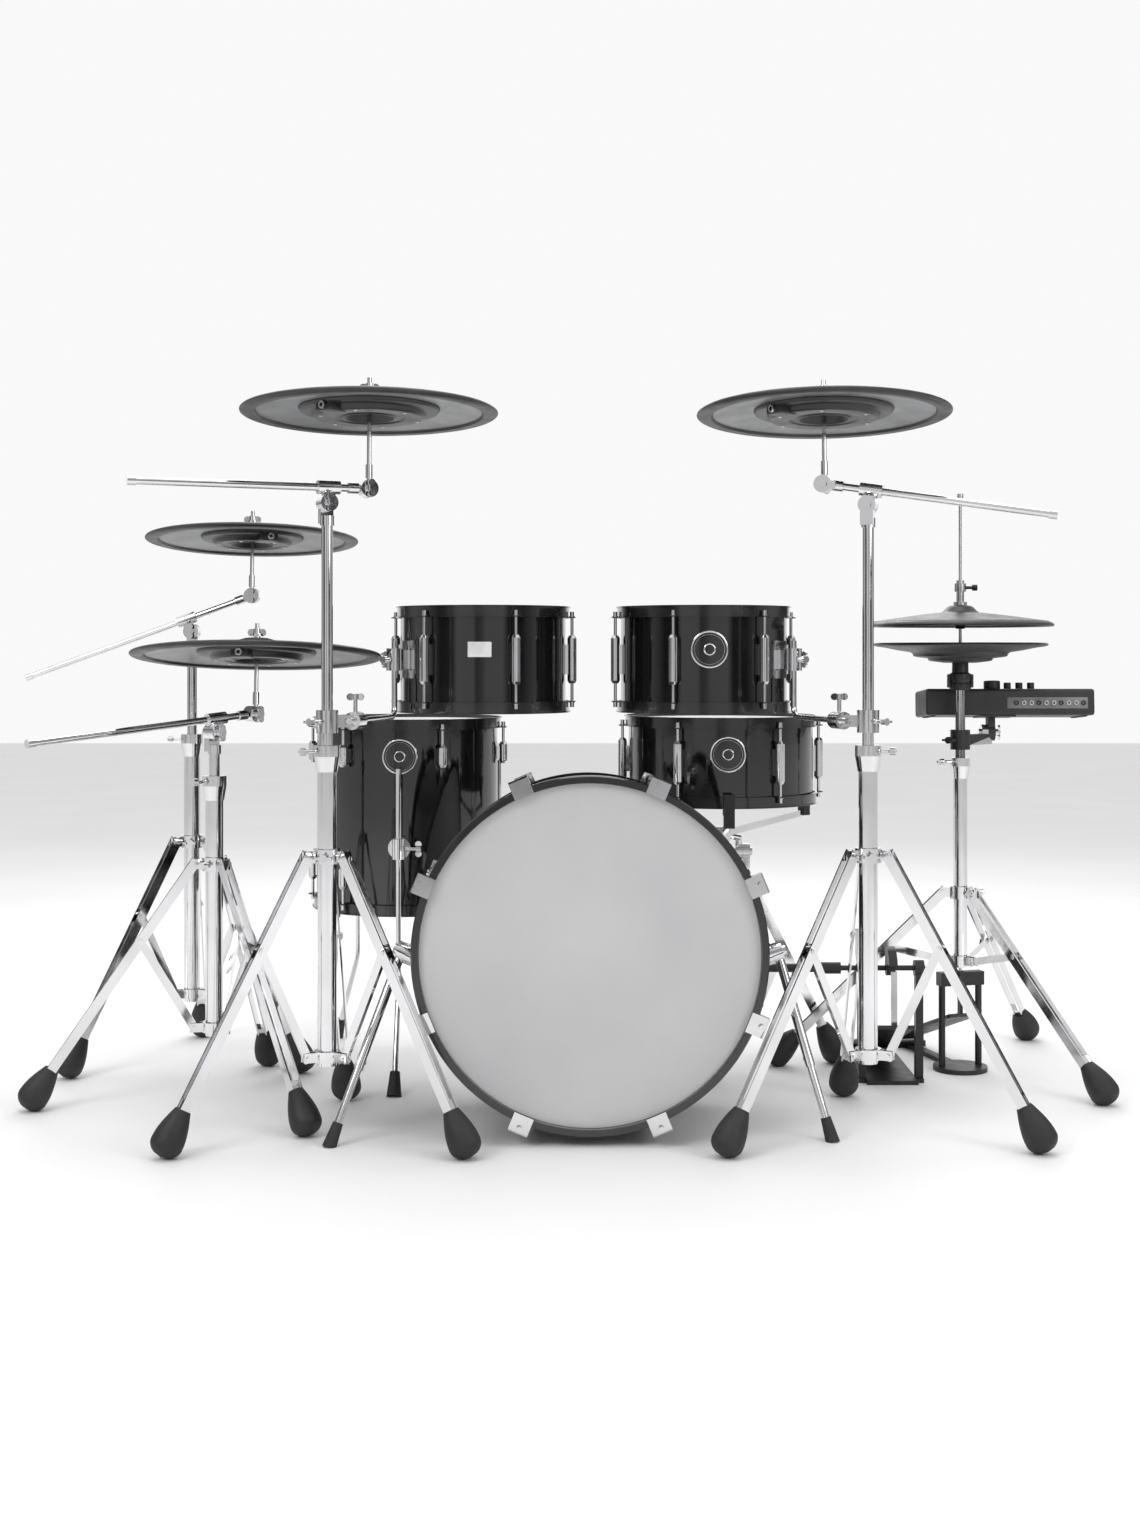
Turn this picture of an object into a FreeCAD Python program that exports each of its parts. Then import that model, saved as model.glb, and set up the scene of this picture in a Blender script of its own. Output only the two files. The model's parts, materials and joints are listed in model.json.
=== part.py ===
import FreeCAD, Part
import math
import os

# Drum kit: five drums, four boom stands with pad cymbals, hi-hat, double pedal, sound module.
# Millimetres. X to the right, Y from the audience towards the player, Z up. The layout is worked
# out from the front face of the bass drum, and the finished model is centred over its base.

V = FreeCAD.Vector
RIGHT = V(1, 0, 0)
BACK = V(0, 1, 0)
UP = V(0, 0, 1)

# ------------------------------------------------------------------ fits
RUNNING_FIT = 0.05        # radial, a shaft or pin that turns in its bore
LOOSE_FIT = 0.5           # radial, a rod that passes through a hole
MOVING_GAP = 0.35         # between the facing ends of two pieces that turn on one pin

# ------------------------------------------------------------------ drums
BASS_DIAMETER = 558.8     # 22 in shell
BASS_DEPTH = 355.6        # 14 in
BASS_TILT = 2.6           # degrees, front hoop lifted by the spurs
TOM_DIAMETER = 304.8      # 12 in
TOM_DEPTH = 177.8         # 7 in
SNARE_DIAMETER = 355.6    # 14 in
SNARE_DEPTH = 152.4       # 6 in
FLOOR_TOM_DIAMETER = 355.6
FLOOR_TOM_DEPTH = 355.6
SHELL_WALL = 6.0
HEAD_THICKNESS = 1.0
FLESH_RING_INNER = 0.8    # ring of a head outside the shell, measured from the shell
FLESH_RING_OUTER = 4.0
FLESH_RING_DROP = 9.0
HOOP_INNER = 4.3          # flanged hoop, measured outwards from the shell
HOOP_WALL = 2.2
HOOP_FLANGE = 9.0
HOOP_RISE = 8.0           # top of the hoop above the bearing edge
HOOP_DROP = 13.0          # bottom of the hoop below the bearing edge
ROD_OFFSET = 12.5         # tension rod axis outside the shell
ROD_RADIUS = 2.9
LUG_RADIUS = 8.5
BADGE_RADIUS = 33.0
WOOD_HOOP_INNER = 3.0
WOOD_RING_OUTER = 2.6     # ring of the bass head, inside its wooden hoop
WOOD_HOOP_OUTER = 15.6
WOOD_HOOP_DEPTH = 38.0
WOOD_HOOP_PROUD = 12.0    # hoop face in front of the bearing edge
CLAW_ROD_OFFSET = 24.5
CLAW_WIDTH = 34.0

# ------------------------------------------------------------------ tubes, rods, legs
LOWER_TUBE_RADIUS = 15.9
TUBE_WALL = 1.6
UPPER_TUBE_RADIUS = 9.55
BOOM_RADIUS = 6.35
POST_RADIUS = 4.0
POST_TIP_RADIUS = 3.9     # threaded end, over the crests
L_ROD_RADIUS = 5.25
PIVOT_PIN_RADIUS = 4.0
LEG_STRIP_WIDTH = 17.0
LEG_STRIP_THICKNESS = 3.0
LEG_STRIP_SPREAD = 8.0    # strip centre from the middle plane of a leg
BRACE_WIDTH = 14.0
BRACE_THICKNESS = 9.0
FOOT_LENGTH = 80.0
FOOT_RADIUS = 27.0
FOOT_NECK = 13.0
HINGE_SHARE = 0.38        # where the brace meets the leg, as a share of the leg

# ------------------------------------------------------------------ pads
CRASH_RADIUS = 216.0      # 17 in
RIDE_RADIUS = 228.6       # 18 in
MIDDLE_RADIUS = 208.0     # 16 in with its rubber rim
HIHAT_TOP_RADIUS = 178.0
HIHAT_BOTTOM_RADIUS = 167.0
PAD_HOLE = 8.0
POST_SLEEVE = 6.0
NUT_TOP = 22.0            # top of the wing nut above the centre of a pad
POST_FREE = 10.0          # post standing out of the wing nut
SEAT_DROP = 12.0          # felt seat below the centre of a pad

# ------------------------------------------------------------------ pedals
PEDAL_AXIS_Z = 214.0
PEDAL_REACH = 283.0       # heel hinge to chain
PEDAL_WIDTH = 84.0
CAM_RADIUS = 44.0
HEEL_Z = 22.0
TOE_Z = 108.0
BEATER_LENGTH = 175.0
BEATER_RADIUS = 22.0
PEDAL_TRAVEL = 8.0        # degrees of the footboard
SHAFT_RADIUS = 5.0

HIHAT_REACH = 240.0       # heel hinge to chain
HIHAT_TUBE = 13.5
HIHAT_ROD = 3.0
HIHAT_TOP_Z = 888.0       # centre hole of the upper pad

# ------------------------------------------------------------------ module
MODULE_WIDTH = 330.0
MODULE_DEPTH = 125.0
MODULE_HEIGHT = 52.0
MODULE_TOP = 85.0         # top of the case above its hinge
MODULE_SLOPE = 4.0        # degrees down towards the player

# ------------------------------------------------------------------ layout
BASS_X = 33.0
bass_radius = BASS_DIAMETER / 2
bass_hoop_radius = bass_radius + WOOD_HOOP_OUTER
bass_length = BASS_DEPTH + 2 * WOOD_HOOP_PROUD
tilt = math.radians(BASS_TILT)
bass_centre = V(BASS_X, bass_length / 2 * math.cos(tilt),
                bass_hoop_radius * math.cos(tilt) + bass_length / 2 * math.sin(tilt))
bass_top = 2 * bass_hoop_radius + bass_length * math.sin(tilt)
bass_back = bass_length + 6.0

tom_radius = TOM_DIAMETER / 2
TOM_CLEAR = 51.0          # from each tom shell to the line between the toms
TOM_Y = 400.0
tom_split_x = BASS_X + 10.5
tom_left_x = tom_split_x - TOM_CLEAR - tom_radius
tom_right_x = tom_split_x + TOM_CLEAR + tom_radius
tom_z = bass_top + 101.0 + TOM_DEPTH / 2
TOM_BRACKET_REACH = 28.0  # L-rod axis outside the tom shell

snare_radius = SNARE_DIAMETER / 2
snare_at = V(BASS_X + 259.0, bass_back + snare_radius + HOOP_FLANGE + 3.0, 529.0 + SNARE_DEPTH / 2)
floor_tom_radius = FLOOR_TOM_DIAMETER / 2
FLOOR_LEG_SPLAY = 78.0    # foot outside the upper part of its leg
floor_tom_at = V(-321.0, bass_back + 264.0, 320.0 + FLOOR_TOM_DEPTH / 2)

pedal_y = bass_back + 94.0
slave_x = BASS_X + 572.0
hihat_at = V(BASS_X + 724.5, pedal_y + 99.0, 0)
snare_stand_at = V(snare_at.x + 48.0, snare_at.y + 64.0, 0)

ARM_DROP = 14.0           # L-rod below the bottom of the tom shell
arm_z = tom_z - TOM_DEPTH / 2 - ARM_DROP
front_left_at = V(BASS_X - bass_hoop_radius - 143.0, 53.0, 0)
front_right_at = V(BASS_X + bass_hoop_radius + 172.0, 71.0, 0)
ride_x = tom_left_x - tom_radius - RIDE_RADIUS - 33.0
near_left_at = V(ride_x - 66.0, floor_tom_at.y - 343.6, 0)
far_left_at = V(near_left_at.x - 108.0, floor_tom_at.y + 2.4, 0)

nodes = {}
pivots = {}
post_tops = {}


# ------------------------------------------------------------------ small shapes
def heading(degrees):
    a = math.radians(degrees)
    return V(math.cos(a), math.sin(a), 0)


def unit(v):
    return v / v.Length


def rod(start, end, radius):
    return Part.makeCylinder(radius, (end - start).Length, start, end - start)


def disc(centre, axis, radius, low, high):
    """A cylinder about an axis through centre, from low to high along that axis."""
    axis = unit(axis)
    return Part.makeCylinder(radius, high - low, centre + axis * low, axis)


def pipe(start, end, outer, inner):
    return rod(start, end, outer).cut(rod(start, end, inner))


def cone(start, end, start_radius, end_radius):
    return Part.makeCone(start_radius, end_radius, (end - start).Length, start, end - start)


def block(start, end, width, thickness, side):
    """A bar from start to end. side is the direction of its thickness, width is across both."""
    along = unit(end - start)
    side = unit(side - along * side.dot(along))
    across = along.cross(side)
    solid = Part.makeBox((end - start).Length, thickness, width, V(0, -thickness / 2, -width / 2))
    frame = FreeCAD.Matrix(along.x, side.x, across.x, start.x,
                           along.y, side.y, across.y, start.y,
                           along.z, side.z, across.z, start.z,
                           0, 0, 0, 1)
    solid.Placement = FreeCAD.Placement(frame)
    return solid


def fuse(*solids):
    whole = solids[0].fuse(list(solids[1:]))
    return whole.removeSplitter()


def turned(points):
    """A solid of revolution about Z from an outline of (radius, height) points."""
    outline = [V(r, 0, z) for r, z in points]
    wire = Part.makePolygon(outline + [outline[0]])
    return Part.Face(wire).revolve(V(0, 0, 0), UP, 360)


def placed(solid, placement):
    copy = solid.copy()
    copy.Placement = placement.multiply(copy.Placement)
    return copy


def spun(solid, degrees):
    copy = solid.copy()
    copy.rotate(V(0, 0, 0), UP, degrees)
    return copy


def bent_rod(points, radius, bend):
    """A round rod through the points, with its corners bent to one radius."""
    edges = []
    start = points[0]
    for before, corner, after in zip(points, points[1:], points[2:]):
        come = unit(corner - before)
        leave = unit(after - corner)
        half = come.getAngle(leave) / 2
        back_off = bend * math.tan(half)
        inward = unit(leave - come)
        first = corner - come * back_off
        last = corner + leave * back_off
        middle = corner + inward * (bend / math.cos(half) - bend)
        edges.append(Part.LineSegment(start, first).toShape())
        edges.append(Part.Arc(first, middle, last).toShape())
        start = last
    edges.append(Part.LineSegment(start, points[-1]).toShape())
    path = Part.Wire(edges)
    ring = Part.Wire(Part.Circle(points[0], unit(points[1] - points[0]), radius).toShape())
    return path.makePipeShell([ring], True, False)


def wings(middle, across, facing, span):
    """A thin web with a round ear at each end, lying across a bolt."""
    across = unit(across)
    ear = span / 5
    web = block(middle - across * (span / 2 - ear), middle + across * (span / 2 - ear), 8.0, 3.6,
                unit(facing))
    ears = [disc(middle + across * (end * (span / 2 - ear)), facing, ear, -2.0, 2.0)
            for end in (-1, 1)]
    return [web] + ears


def wing_bolt(base, direction, length, wing_side, radius=3.5, span=30.0):
    """A thumb screw: round stem, round boss and two wings across its end."""
    direction = unit(direction)
    stem = disc(base, direction, radius, 0, length)
    boss = disc(base, direction, radius + 3.0, length - 9.0, length)
    tip = base + direction * (length - 5.0)
    return fuse(stem, boss, *wings(tip, direction.cross(unit(wing_side)), wing_side, span))


# ------------------------------------------------------------------ drums
def shell_of(radius, depth):
    top = depth / 2
    inner = radius - SHELL_WALL
    bevel = SHELL_WALL - 1.5
    return turned([(inner, -top + bevel), (radius - 1.5, -top), (radius, -top),
                   (radius, top), (radius - 1.5, top), (inner, top - bevel)])


def heads_of(radius, depth, ring=FLESH_RING_OUTER):
    low = depth / 2
    inner = radius + FLESH_RING_INNER
    outer = radius + ring
    head = turned([(0, low), (inner, low), (inner, low - FLESH_RING_DROP),
                   (outer, low - FLESH_RING_DROP), (outer, low + HEAD_THICKNESS),
                   (0, low + HEAD_THICKNESS)])
    other = head.copy()
    other.rotate(V(0, 0, 0), RIGHT, 180)
    return [head, other]


def flanged_hoops_of(radius, depth, lug_angles):
    edge = depth / 2
    inner = radius + HOOP_INNER
    wall = inner + HOOP_WALL
    flange = radius + HOOP_FLANGE
    seat = edge + HEAD_THICKNESS
    hoop = turned([(radius + 1.5, seat), (inner, seat), (inner, edge - HOOP_DROP),
                   (flange, edge - HOOP_DROP), (flange, edge - HOOP_DROP + HOOP_WALL),
                   (wall, edge - HOOP_DROP + HOOP_WALL), (wall, edge + HOOP_RISE - HOOP_WALL),
                   (flange, edge + HOOP_RISE - HOOP_WALL), (flange, edge + HOOP_RISE),
                   (inner, edge + HOOP_RISE), (inner, seat + HOOP_WALL),
                   (radius + 1.5, seat + HOOP_WALL)])
    ear_inner = wall - 1.0
    ear_length = radius + ROD_OFFSET + 7.0 - ear_inner
    ear = Part.makeBox(ear_length, 17.0, HOOP_WALL, V(ear_inner, -8.5, edge - HOOP_DROP))
    hole = disc(V(radius + ROD_OFFSET, 0, edge - HOOP_DROP), UP, ROD_RADIUS + LOOSE_FIT, -1, 4)
    ears = [spun(ear, a) for a in lug_angles]
    holes = [spun(hole, a) for a in lug_angles]
    hoop = fuse(hoop, *ears).cut(Part.makeCompound(holes))
    other = hoop.copy()
    other.rotate(V(0, 0, 0), RIGHT, 180)
    other.rotate(V(0, 0, 0), UP, 2 * lug_angles[0])
    return [hoop.Solids[0], other.Solids[0]]


def lugs_of(radius, depth, lug_angles, lug_length, lug_centre):
    """Lugs with their tension rods. One lug serves both hoops where lug_centre is 0."""
    axis = radius + ROD_OFFSET
    body_shell = disc(V(0, 0, 0), UP, radius, -depth / 2, depth / 2)
    centre = V(axis, 0, lug_centre)
    half = lug_length / 2
    body = fuse(disc(centre, UP, LUG_RADIUS, -half + 5, half - 5),
                cone(centre + UP * (half - 5), centre + UP * half, LUG_RADIUS, 5.5),
                cone(centre - UP * (half - 5), centre - UP * half, LUG_RADIUS, 5.5),
                Part.makeBox(ROD_OFFSET + 8.0, 11.0, lug_length * 0.62,
                             V(radius - 8.0, -5.5, lug_centre - lug_length * 0.31)))
    seat_top = depth / 2 - HOOP_DROP + HOOP_WALL
    deep = 14.0
    ends = [1, -1] if lug_centre == 0 else [math.copysign(1, lug_centre)]
    body = body.cut(body_shell)
    rods = []
    for end in ends:
        low = abs(lug_centre) + half - deep
        bottom = V(axis, 0, end * low)
        body = body.cut(rod(bottom, bottom + UP * end * (deep + 1), ROD_RADIUS + RUNNING_FIT))
        top = V(axis, 0, end * seat_top)
        rods.append(fuse(rod(bottom, top + UP * end * 2, ROD_RADIUS),
                         disc(top, UP * end, ROD_RADIUS + 2.2, 0, 1.6),
                         disc(top, UP * end, ROD_RADIUS + 1.0, 1.6, 9.5)))
    pieces = []
    for angle in lug_angles:
        pieces.append(spun(body, angle))
        pieces += [spun(piece, angle) for piece in rods]
    return pieces


def badge_of(radius, angle, height, label):
    """A round badge round the air vent, or a plain rectangular label where label is true."""
    reach = BADGE_RADIUS + 5.0
    skin = turned([(radius + 0.05, height - reach), (radius + 1.6, height - reach),
                   (radius + 1.6, height + reach), (radius + 0.05, height + reach)])
    middle = V(0, 0, height)
    plug = disc(middle, RIGHT, BADGE_RADIUS, radius - 15, radius + 15)
    if label:
        plug = block(middle + RIGHT * (radius - 15), middle + RIGHT * (radius + 15), 27.0, 42.0, BACK)
    plate = skin.common(plug).Solids[0]
    vent = disc(middle, RIGHT, 4.0, radius + 1.6, radius + 3.4)
    return [spun(plate, angle), spun(vent, angle)]


def upright_drum(name, centre, diameter, depth, first_lug, lug_length, lug_reach, badge_height,
                 label=False):
    """Shell, heads, hoops and lugs of a drum that stands with its batter head up."""
    radius = diameter / 2
    angles = [first_lug + 60 * i for i in range(6)]
    where = FreeCAD.Placement(centre, FreeCAD.Rotation())
    lugs = []
    for lug_centre in ([0] if lug_reach == 0 else [lug_reach, -lug_reach]):
        lugs += lugs_of(radius, depth, angles, lug_length, lug_centre)
    lugs += badge_of(radius, -90, badge_height, label)
    nodes[name + "_shell"] = [placed(shell_of(radius, depth), where)]
    nodes[name + "_heads"] = [placed(s, where) for s in heads_of(radius, depth)]
    nodes[name + "_hoops"] = [placed(s, where) for s in flanged_hoops_of(radius, depth, angles)]
    nodes[name + "_lugs"] = [placed(s, where) for s in lugs]


def tom(name, centre, side, first_lug, stand_at):
    """A rack tom on its L-rod. side is -1 for the left tom and 1 for the right one."""
    upright_drum(name, centre, TOM_DIAMETER, TOM_DEPTH, first_lug, 88.0, 0, 18.0, side < 0)
    out = heading(210 if side < 0 else 330)
    along = V(-out.y, out.x, 0)
    elbow = V(centre.x, centre.y, 0) + out * (tom_radius + TOM_BRACKET_REACH)
    rod_base = V(elbow.x, elbow.y, arm_z)
    rod_axis = V(elbow.x, elbow.y, centre.z)
    plate = turned([(tom_radius, -34), (tom_radius + 4.5, -34),
                    (tom_radius + 4.5, 34), (tom_radius, 34)])
    plate = placed(plate, FreeCAD.Placement(centre, FreeCAD.Rotation()))
    window = block(centre + out * (tom_radius - 30), centre + out * (tom_radius + 20), 90.0, 56.0,
                   along)
    plate = plate.common(window).Solids[0]
    arm_root = centre + out * (tom_radius + 3.0)
    body = fuse(plate, block(arm_root, rod_axis, 34.0, 26.0, along),
                disc(rod_axis, UP, 15.0, -20, 20))
    body = body.cut(disc(rod_axis, UP, L_ROD_RADIUS + RUNNING_FIT, -60, 60))
    lock = heading(240 if side < 0 else 300)
    screw = wing_bolt(rod_axis + lock * 15.2, lock, 22.0, V(-lock.y, lock.x, 0))
    nodes[name + "_lugs"] += [body.Solids[0], screw]
    # multi-clamp on the stand: one clamp round the tube, one round the L-rod
    grip = V(stand_at.x, stand_at.y, arm_z) + heading(45 if side < 0 else 135) * 60.0
    pull = unit(rod_base - grip)
    nodes[name + "_arm"] = [bent_rod([grip - pull * 34.0, rod_base, rod_axis + UP * 34.0],
                                     L_ROD_RADIUS, 18.0)]
    collar = pipe(V(stand_at.x, stand_at.y, arm_z - 19), V(stand_at.x, stand_at.y, arm_z + 19),
                  UPPER_TUBE_RADIUS + 9.0, UPPER_TUBE_RADIUS)
    socket = disc(grip, pull, 15.0, -19, 19)
    link = block(V(stand_at.x, stand_at.y, arm_z), grip, 26.0, 20.0, UP)
    link = link.cut(disc(V(stand_at.x, stand_at.y, arm_z), UP, UPPER_TUBE_RADIUS, -30, 30))
    clamp = fuse(collar, link, socket)
    clamp = clamp.cut(disc(grip, pull, L_ROD_RADIUS + RUNNING_FIT, -60, 60))
    away = heading(235 if side < 0 else 305)
    screws = [wing_bolt(grip + UP * 15.2, UP, 30.0, pull),
              wing_bolt(V(stand_at.x, stand_at.y, arm_z) + away * 18.7, away, 26.0, UP)]
    pivots[name + "_arm_tilt"] = (grip, pull * side)
    pivots[name + "_swivel"] = (rod_axis, UP)
    return [clamp.Solids[0]] + screws


def bass_drum():
    where = FreeCAD.Placement(bass_centre, FreeCAD.Rotation(RIGHT, 90 - BASS_TILT))
    edge = BASS_DEPTH / 2
    face = edge + WOOD_HOOP_PROUD
    hoop = turned([(bass_radius + WOOD_HOOP_INNER, face - WOOD_HOOP_DEPTH),
                   (bass_hoop_radius, face - WOOD_HOOP_DEPTH), (bass_hoop_radius, face - 2),
                   (bass_hoop_radius - 2, face), (bass_radius + WOOD_HOOP_INNER + 1, face),
                   (bass_radius + WOOD_HOOP_INNER, face - 1)])
    back_hoop = hoop.copy()
    back_hoop.rotate(V(0, 0, 0), RIGHT, 180)
    axis = bass_radius + CLAW_ROD_OFFSET
    claw_inner = bass_radius + WOOD_HOOP_INNER - 1.0
    claw_outer = axis + 9.0
    outline = [V(claw_inner, 0, face), V(claw_inner, 0, face + 3), V(claw_outer - 3, 0, face + 3),
               V(claw_outer, 0, face), V(claw_outer, 0, face - 21),
               V(bass_hoop_radius + 0.4, 0, face - 21), V(bass_hoop_radius + 0.4, 0, face)]
    claw = Part.Face(Part.makePolygon(outline + [outline[0]])).extrude(V(0, CLAW_WIDTH, 0))
    claw.translate(V(0, -CLAW_WIDTH / 2, 0))
    claw = claw.cut(disc(V(axis, 0, 0), UP, ROD_RADIUS + LOOSE_FIT, face - 40, face + 10))
    lug_centre = edge - 78.0
    lug = fuse(disc(V(axis, 0, lug_centre), UP, LUG_RADIUS, -22, 22),
               cone(V(axis, 0, lug_centre - 22), V(axis, 0, lug_centre - 30), LUG_RADIUS, 4.0),
               Part.makeBox(axis - bass_radius + 6, 14.0, 38.0,
                            V(bass_radius - 6, -7.0, lug_centre - 19)))
    lug = lug.cut(disc(V(0, 0, 0), UP, bass_radius, -edge, edge))
    lug = lug.cut(disc(V(axis, 0, lug_centre), UP, ROD_RADIUS + RUNNING_FIT, 4, 30))
    tension = fuse(disc(V(axis, 0, 0), UP, ROD_RADIUS, lug_centre + 5, face + 4),
                   disc(V(axis, 0, 0), UP, ROD_RADIUS + 3.6, face + 3, face + 5),
                   disc(V(axis, 0, 0), UP, ROD_RADIUS + 2.0, face + 5, face + 12))
    front = [claw, lug, tension]
    fittings = []
    for i in range(8):
        for piece in front:
            turned_piece = spun(piece, 22.5 + 45 * i)
            mirrored = turned_piece.copy()
            mirrored.rotate(V(0, 0, 0), RIGHT, 180)
            fittings += [placed(turned_piece, where), placed(mirrored, where)]
    nodes["bass_shell"] = [placed(shell_of(bass_radius, BASS_DEPTH), where)]
    nodes["bass_heads"] = [placed(s, where)
                           for s in heads_of(bass_radius, BASS_DEPTH, WOOD_RING_OUTER)]
    nodes["bass_hoops"] = [placed(hoop, where), placed(back_hoop, where)]
    nodes["bass_lugs"] = fittings
    for name, side, spread, foot_y in (("bass_spur_left", -1, 130.0, -4.0),
                                       ("bass_spur_right", 1, 105.0, 30.0)):
        pivot = where.multVec(V(side * (bass_radius + 30.0), -6.0, edge - 84.0))
        foot = V(BASS_X + side * (bass_hoop_radius + spread), foot_y, 6.0)
        bass_spur(name, side, pivot, foot, where)


def bass_spur(name, side, pivot, foot, where):
    """A telescopic spur that folds back along the shell about a slanted pin."""
    leg = unit(foot - pivot)
    axis = unit(leg.cross(BACK))
    out = axis * side
    drum_skin = placed(disc(V(0, 0, 0), UP, bass_radius, -BASS_DEPTH / 2, BASS_DEPTH / 2), where)
    seat = pivot - out * 48.0
    bracket = fuse(disc(pivot, out, 18.0, -14, 0), rod(seat, pivot - out * 10, 13.0))
    bracket = fuse(bracket, disc(pivot - RIGHT * side * 30, RIGHT * side, 26.0, -14, 6))
    bracket = bracket.cut(drum_skin)
    bracket = max(bracket.Solids, key=lambda s: s.CenterOfMass.distanceToPoint(bass_centre))
    pin = fuse(disc(pivot, out, PIVOT_PIN_RADIUS, -6, 20), disc(pivot, out, 9.0, 17.2, 23))
    nodes["bass_lugs"].append(fuse(bracket, pin))
    hub = disc(pivot, out, 16.0, MOVING_GAP, 16.8)
    line = pivot + out * 8.5
    length = (foot - line).Length
    sleeve_end = line + unit(foot - line) * length * 0.62
    upper = rod(line, sleeve_end, 8.0)
    lower = rod(line, foot - unit(foot - line) * 30.0, BOOM_RADIUS)
    front = unit(RIGHT.cross(leg))
    screw = wing_bolt(sleeve_end - leg * 14.0 + front * 6.0, front, 20.0, RIGHT)
    tip = cone(foot - unit(foot - line) * 34.0, foot + unit(foot - line) * 8, 8.5, 12.0)
    ground = Part.makeBox(400, 400, 200, V(foot.x - 200, foot.y - 200, -200))
    whole = fuse(hub, upper, lower, screw, tip).cut(ground)
    whole = whole.cut(disc(pivot, out, PIVOT_PIN_RADIUS + RUNNING_FIT, -5, 40))
    nodes[name] = [whole.Solids[0]]
    pivots[name + "_fold"] = (pivot, axis)


def floor_tom_legs():
    """Three bent legs in round brackets, each held by a wing bolt."""
    legs = []
    spread = floor_tom_radius + 26.0
    for angle in (-90, 30, 125):
        out = heading(angle)
        side = V(-out.y, out.x, 0)
        axis = floor_tom_at + out * spread
        level = floor_tom_at.z - FLOOR_TOM_DEPTH / 2 + 122.0
        grip = V(axis.x, axis.y, level)
        skin = disc(floor_tom_at, UP, floor_tom_radius, -FLOOR_TOM_DEPTH, FLOOR_TOM_DEPTH)
        bracket = fuse(disc(V(floor_tom_at.x, floor_tom_at.y, level), out, 21.0,
                            floor_tom_radius - 8, floor_tom_radius + 12),
                       disc(grip, UP, 12.0, -19, 19),
                       block(grip - out * 22.0, grip, 24.0, 14.0, side))
        bracket = bracket.cut(skin).cut(disc(grip, UP, L_ROD_RADIUS + RUNNING_FIT, -60, 60))
        nodes["floor_tom_lugs"].append(max(bracket.Solids, key=lambda s: s.Volume))
        nodes["floor_tom_lugs"].append(wing_bolt(grip + side * 12.2, side, 30.0, out))
        knee = V(axis.x, axis.y, 185.0)
        toe = V(axis.x, axis.y, 0) + out * FLOOR_LEG_SPLAY + UP * 30.0
        legs.append(bent_rod([V(axis.x, axis.y, level + 150.0), knee, toe], L_ROD_RADIUS, 60.0))
        foot_axis = unit(toe - knee)
        tip = cone(toe - foot_axis * 12.0, toe + foot_axis * 34.0, 9.0, 14.0)
        tip = tip.cut(rod(toe - foot_axis * 20, toe, L_ROD_RADIUS))
        ground = Part.makeBox(400, 400, 200, V(toe.x - 200, toe.y - 200, -200))
        nodes["rubber_feet"].append(tip.cut(ground).Solids[0])
    nodes["floor_tom_legs"] = legs


# ------------------------------------------------------------------ stands
def rubber_foot(end, leg):
    """A pear-shaped rubber foot about the line of a leg, cut flat where it stands."""
    widest = FOOT_LENGTH * 0.72
    outline = [(0, 0)]
    for step in range(8):
        share = step / 8
        outline.append((FOOT_NECK + (FOOT_RADIUS - FOOT_NECK) * math.sin(share * math.pi / 2),
                        widest * share))
    for step in range(8):
        share = step / 8
        outline.append((FOOT_RADIUS * math.sqrt(1 - share * share),
                        widest + (FOOT_LENGTH - widest) * share))
    foot = turned(outline + [(0, FOOT_LENGTH)])
    top = end - leg * (FOOT_LENGTH - 18.0)
    foot.Placement = FreeCAD.Placement(top, FreeCAD.Rotation(UP, leg))
    ground = Part.makeBox(300, 300, 150, V(end.x - 150, end.y - 150, -150))
    return foot.cut(ground).Solids[0], top


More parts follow.
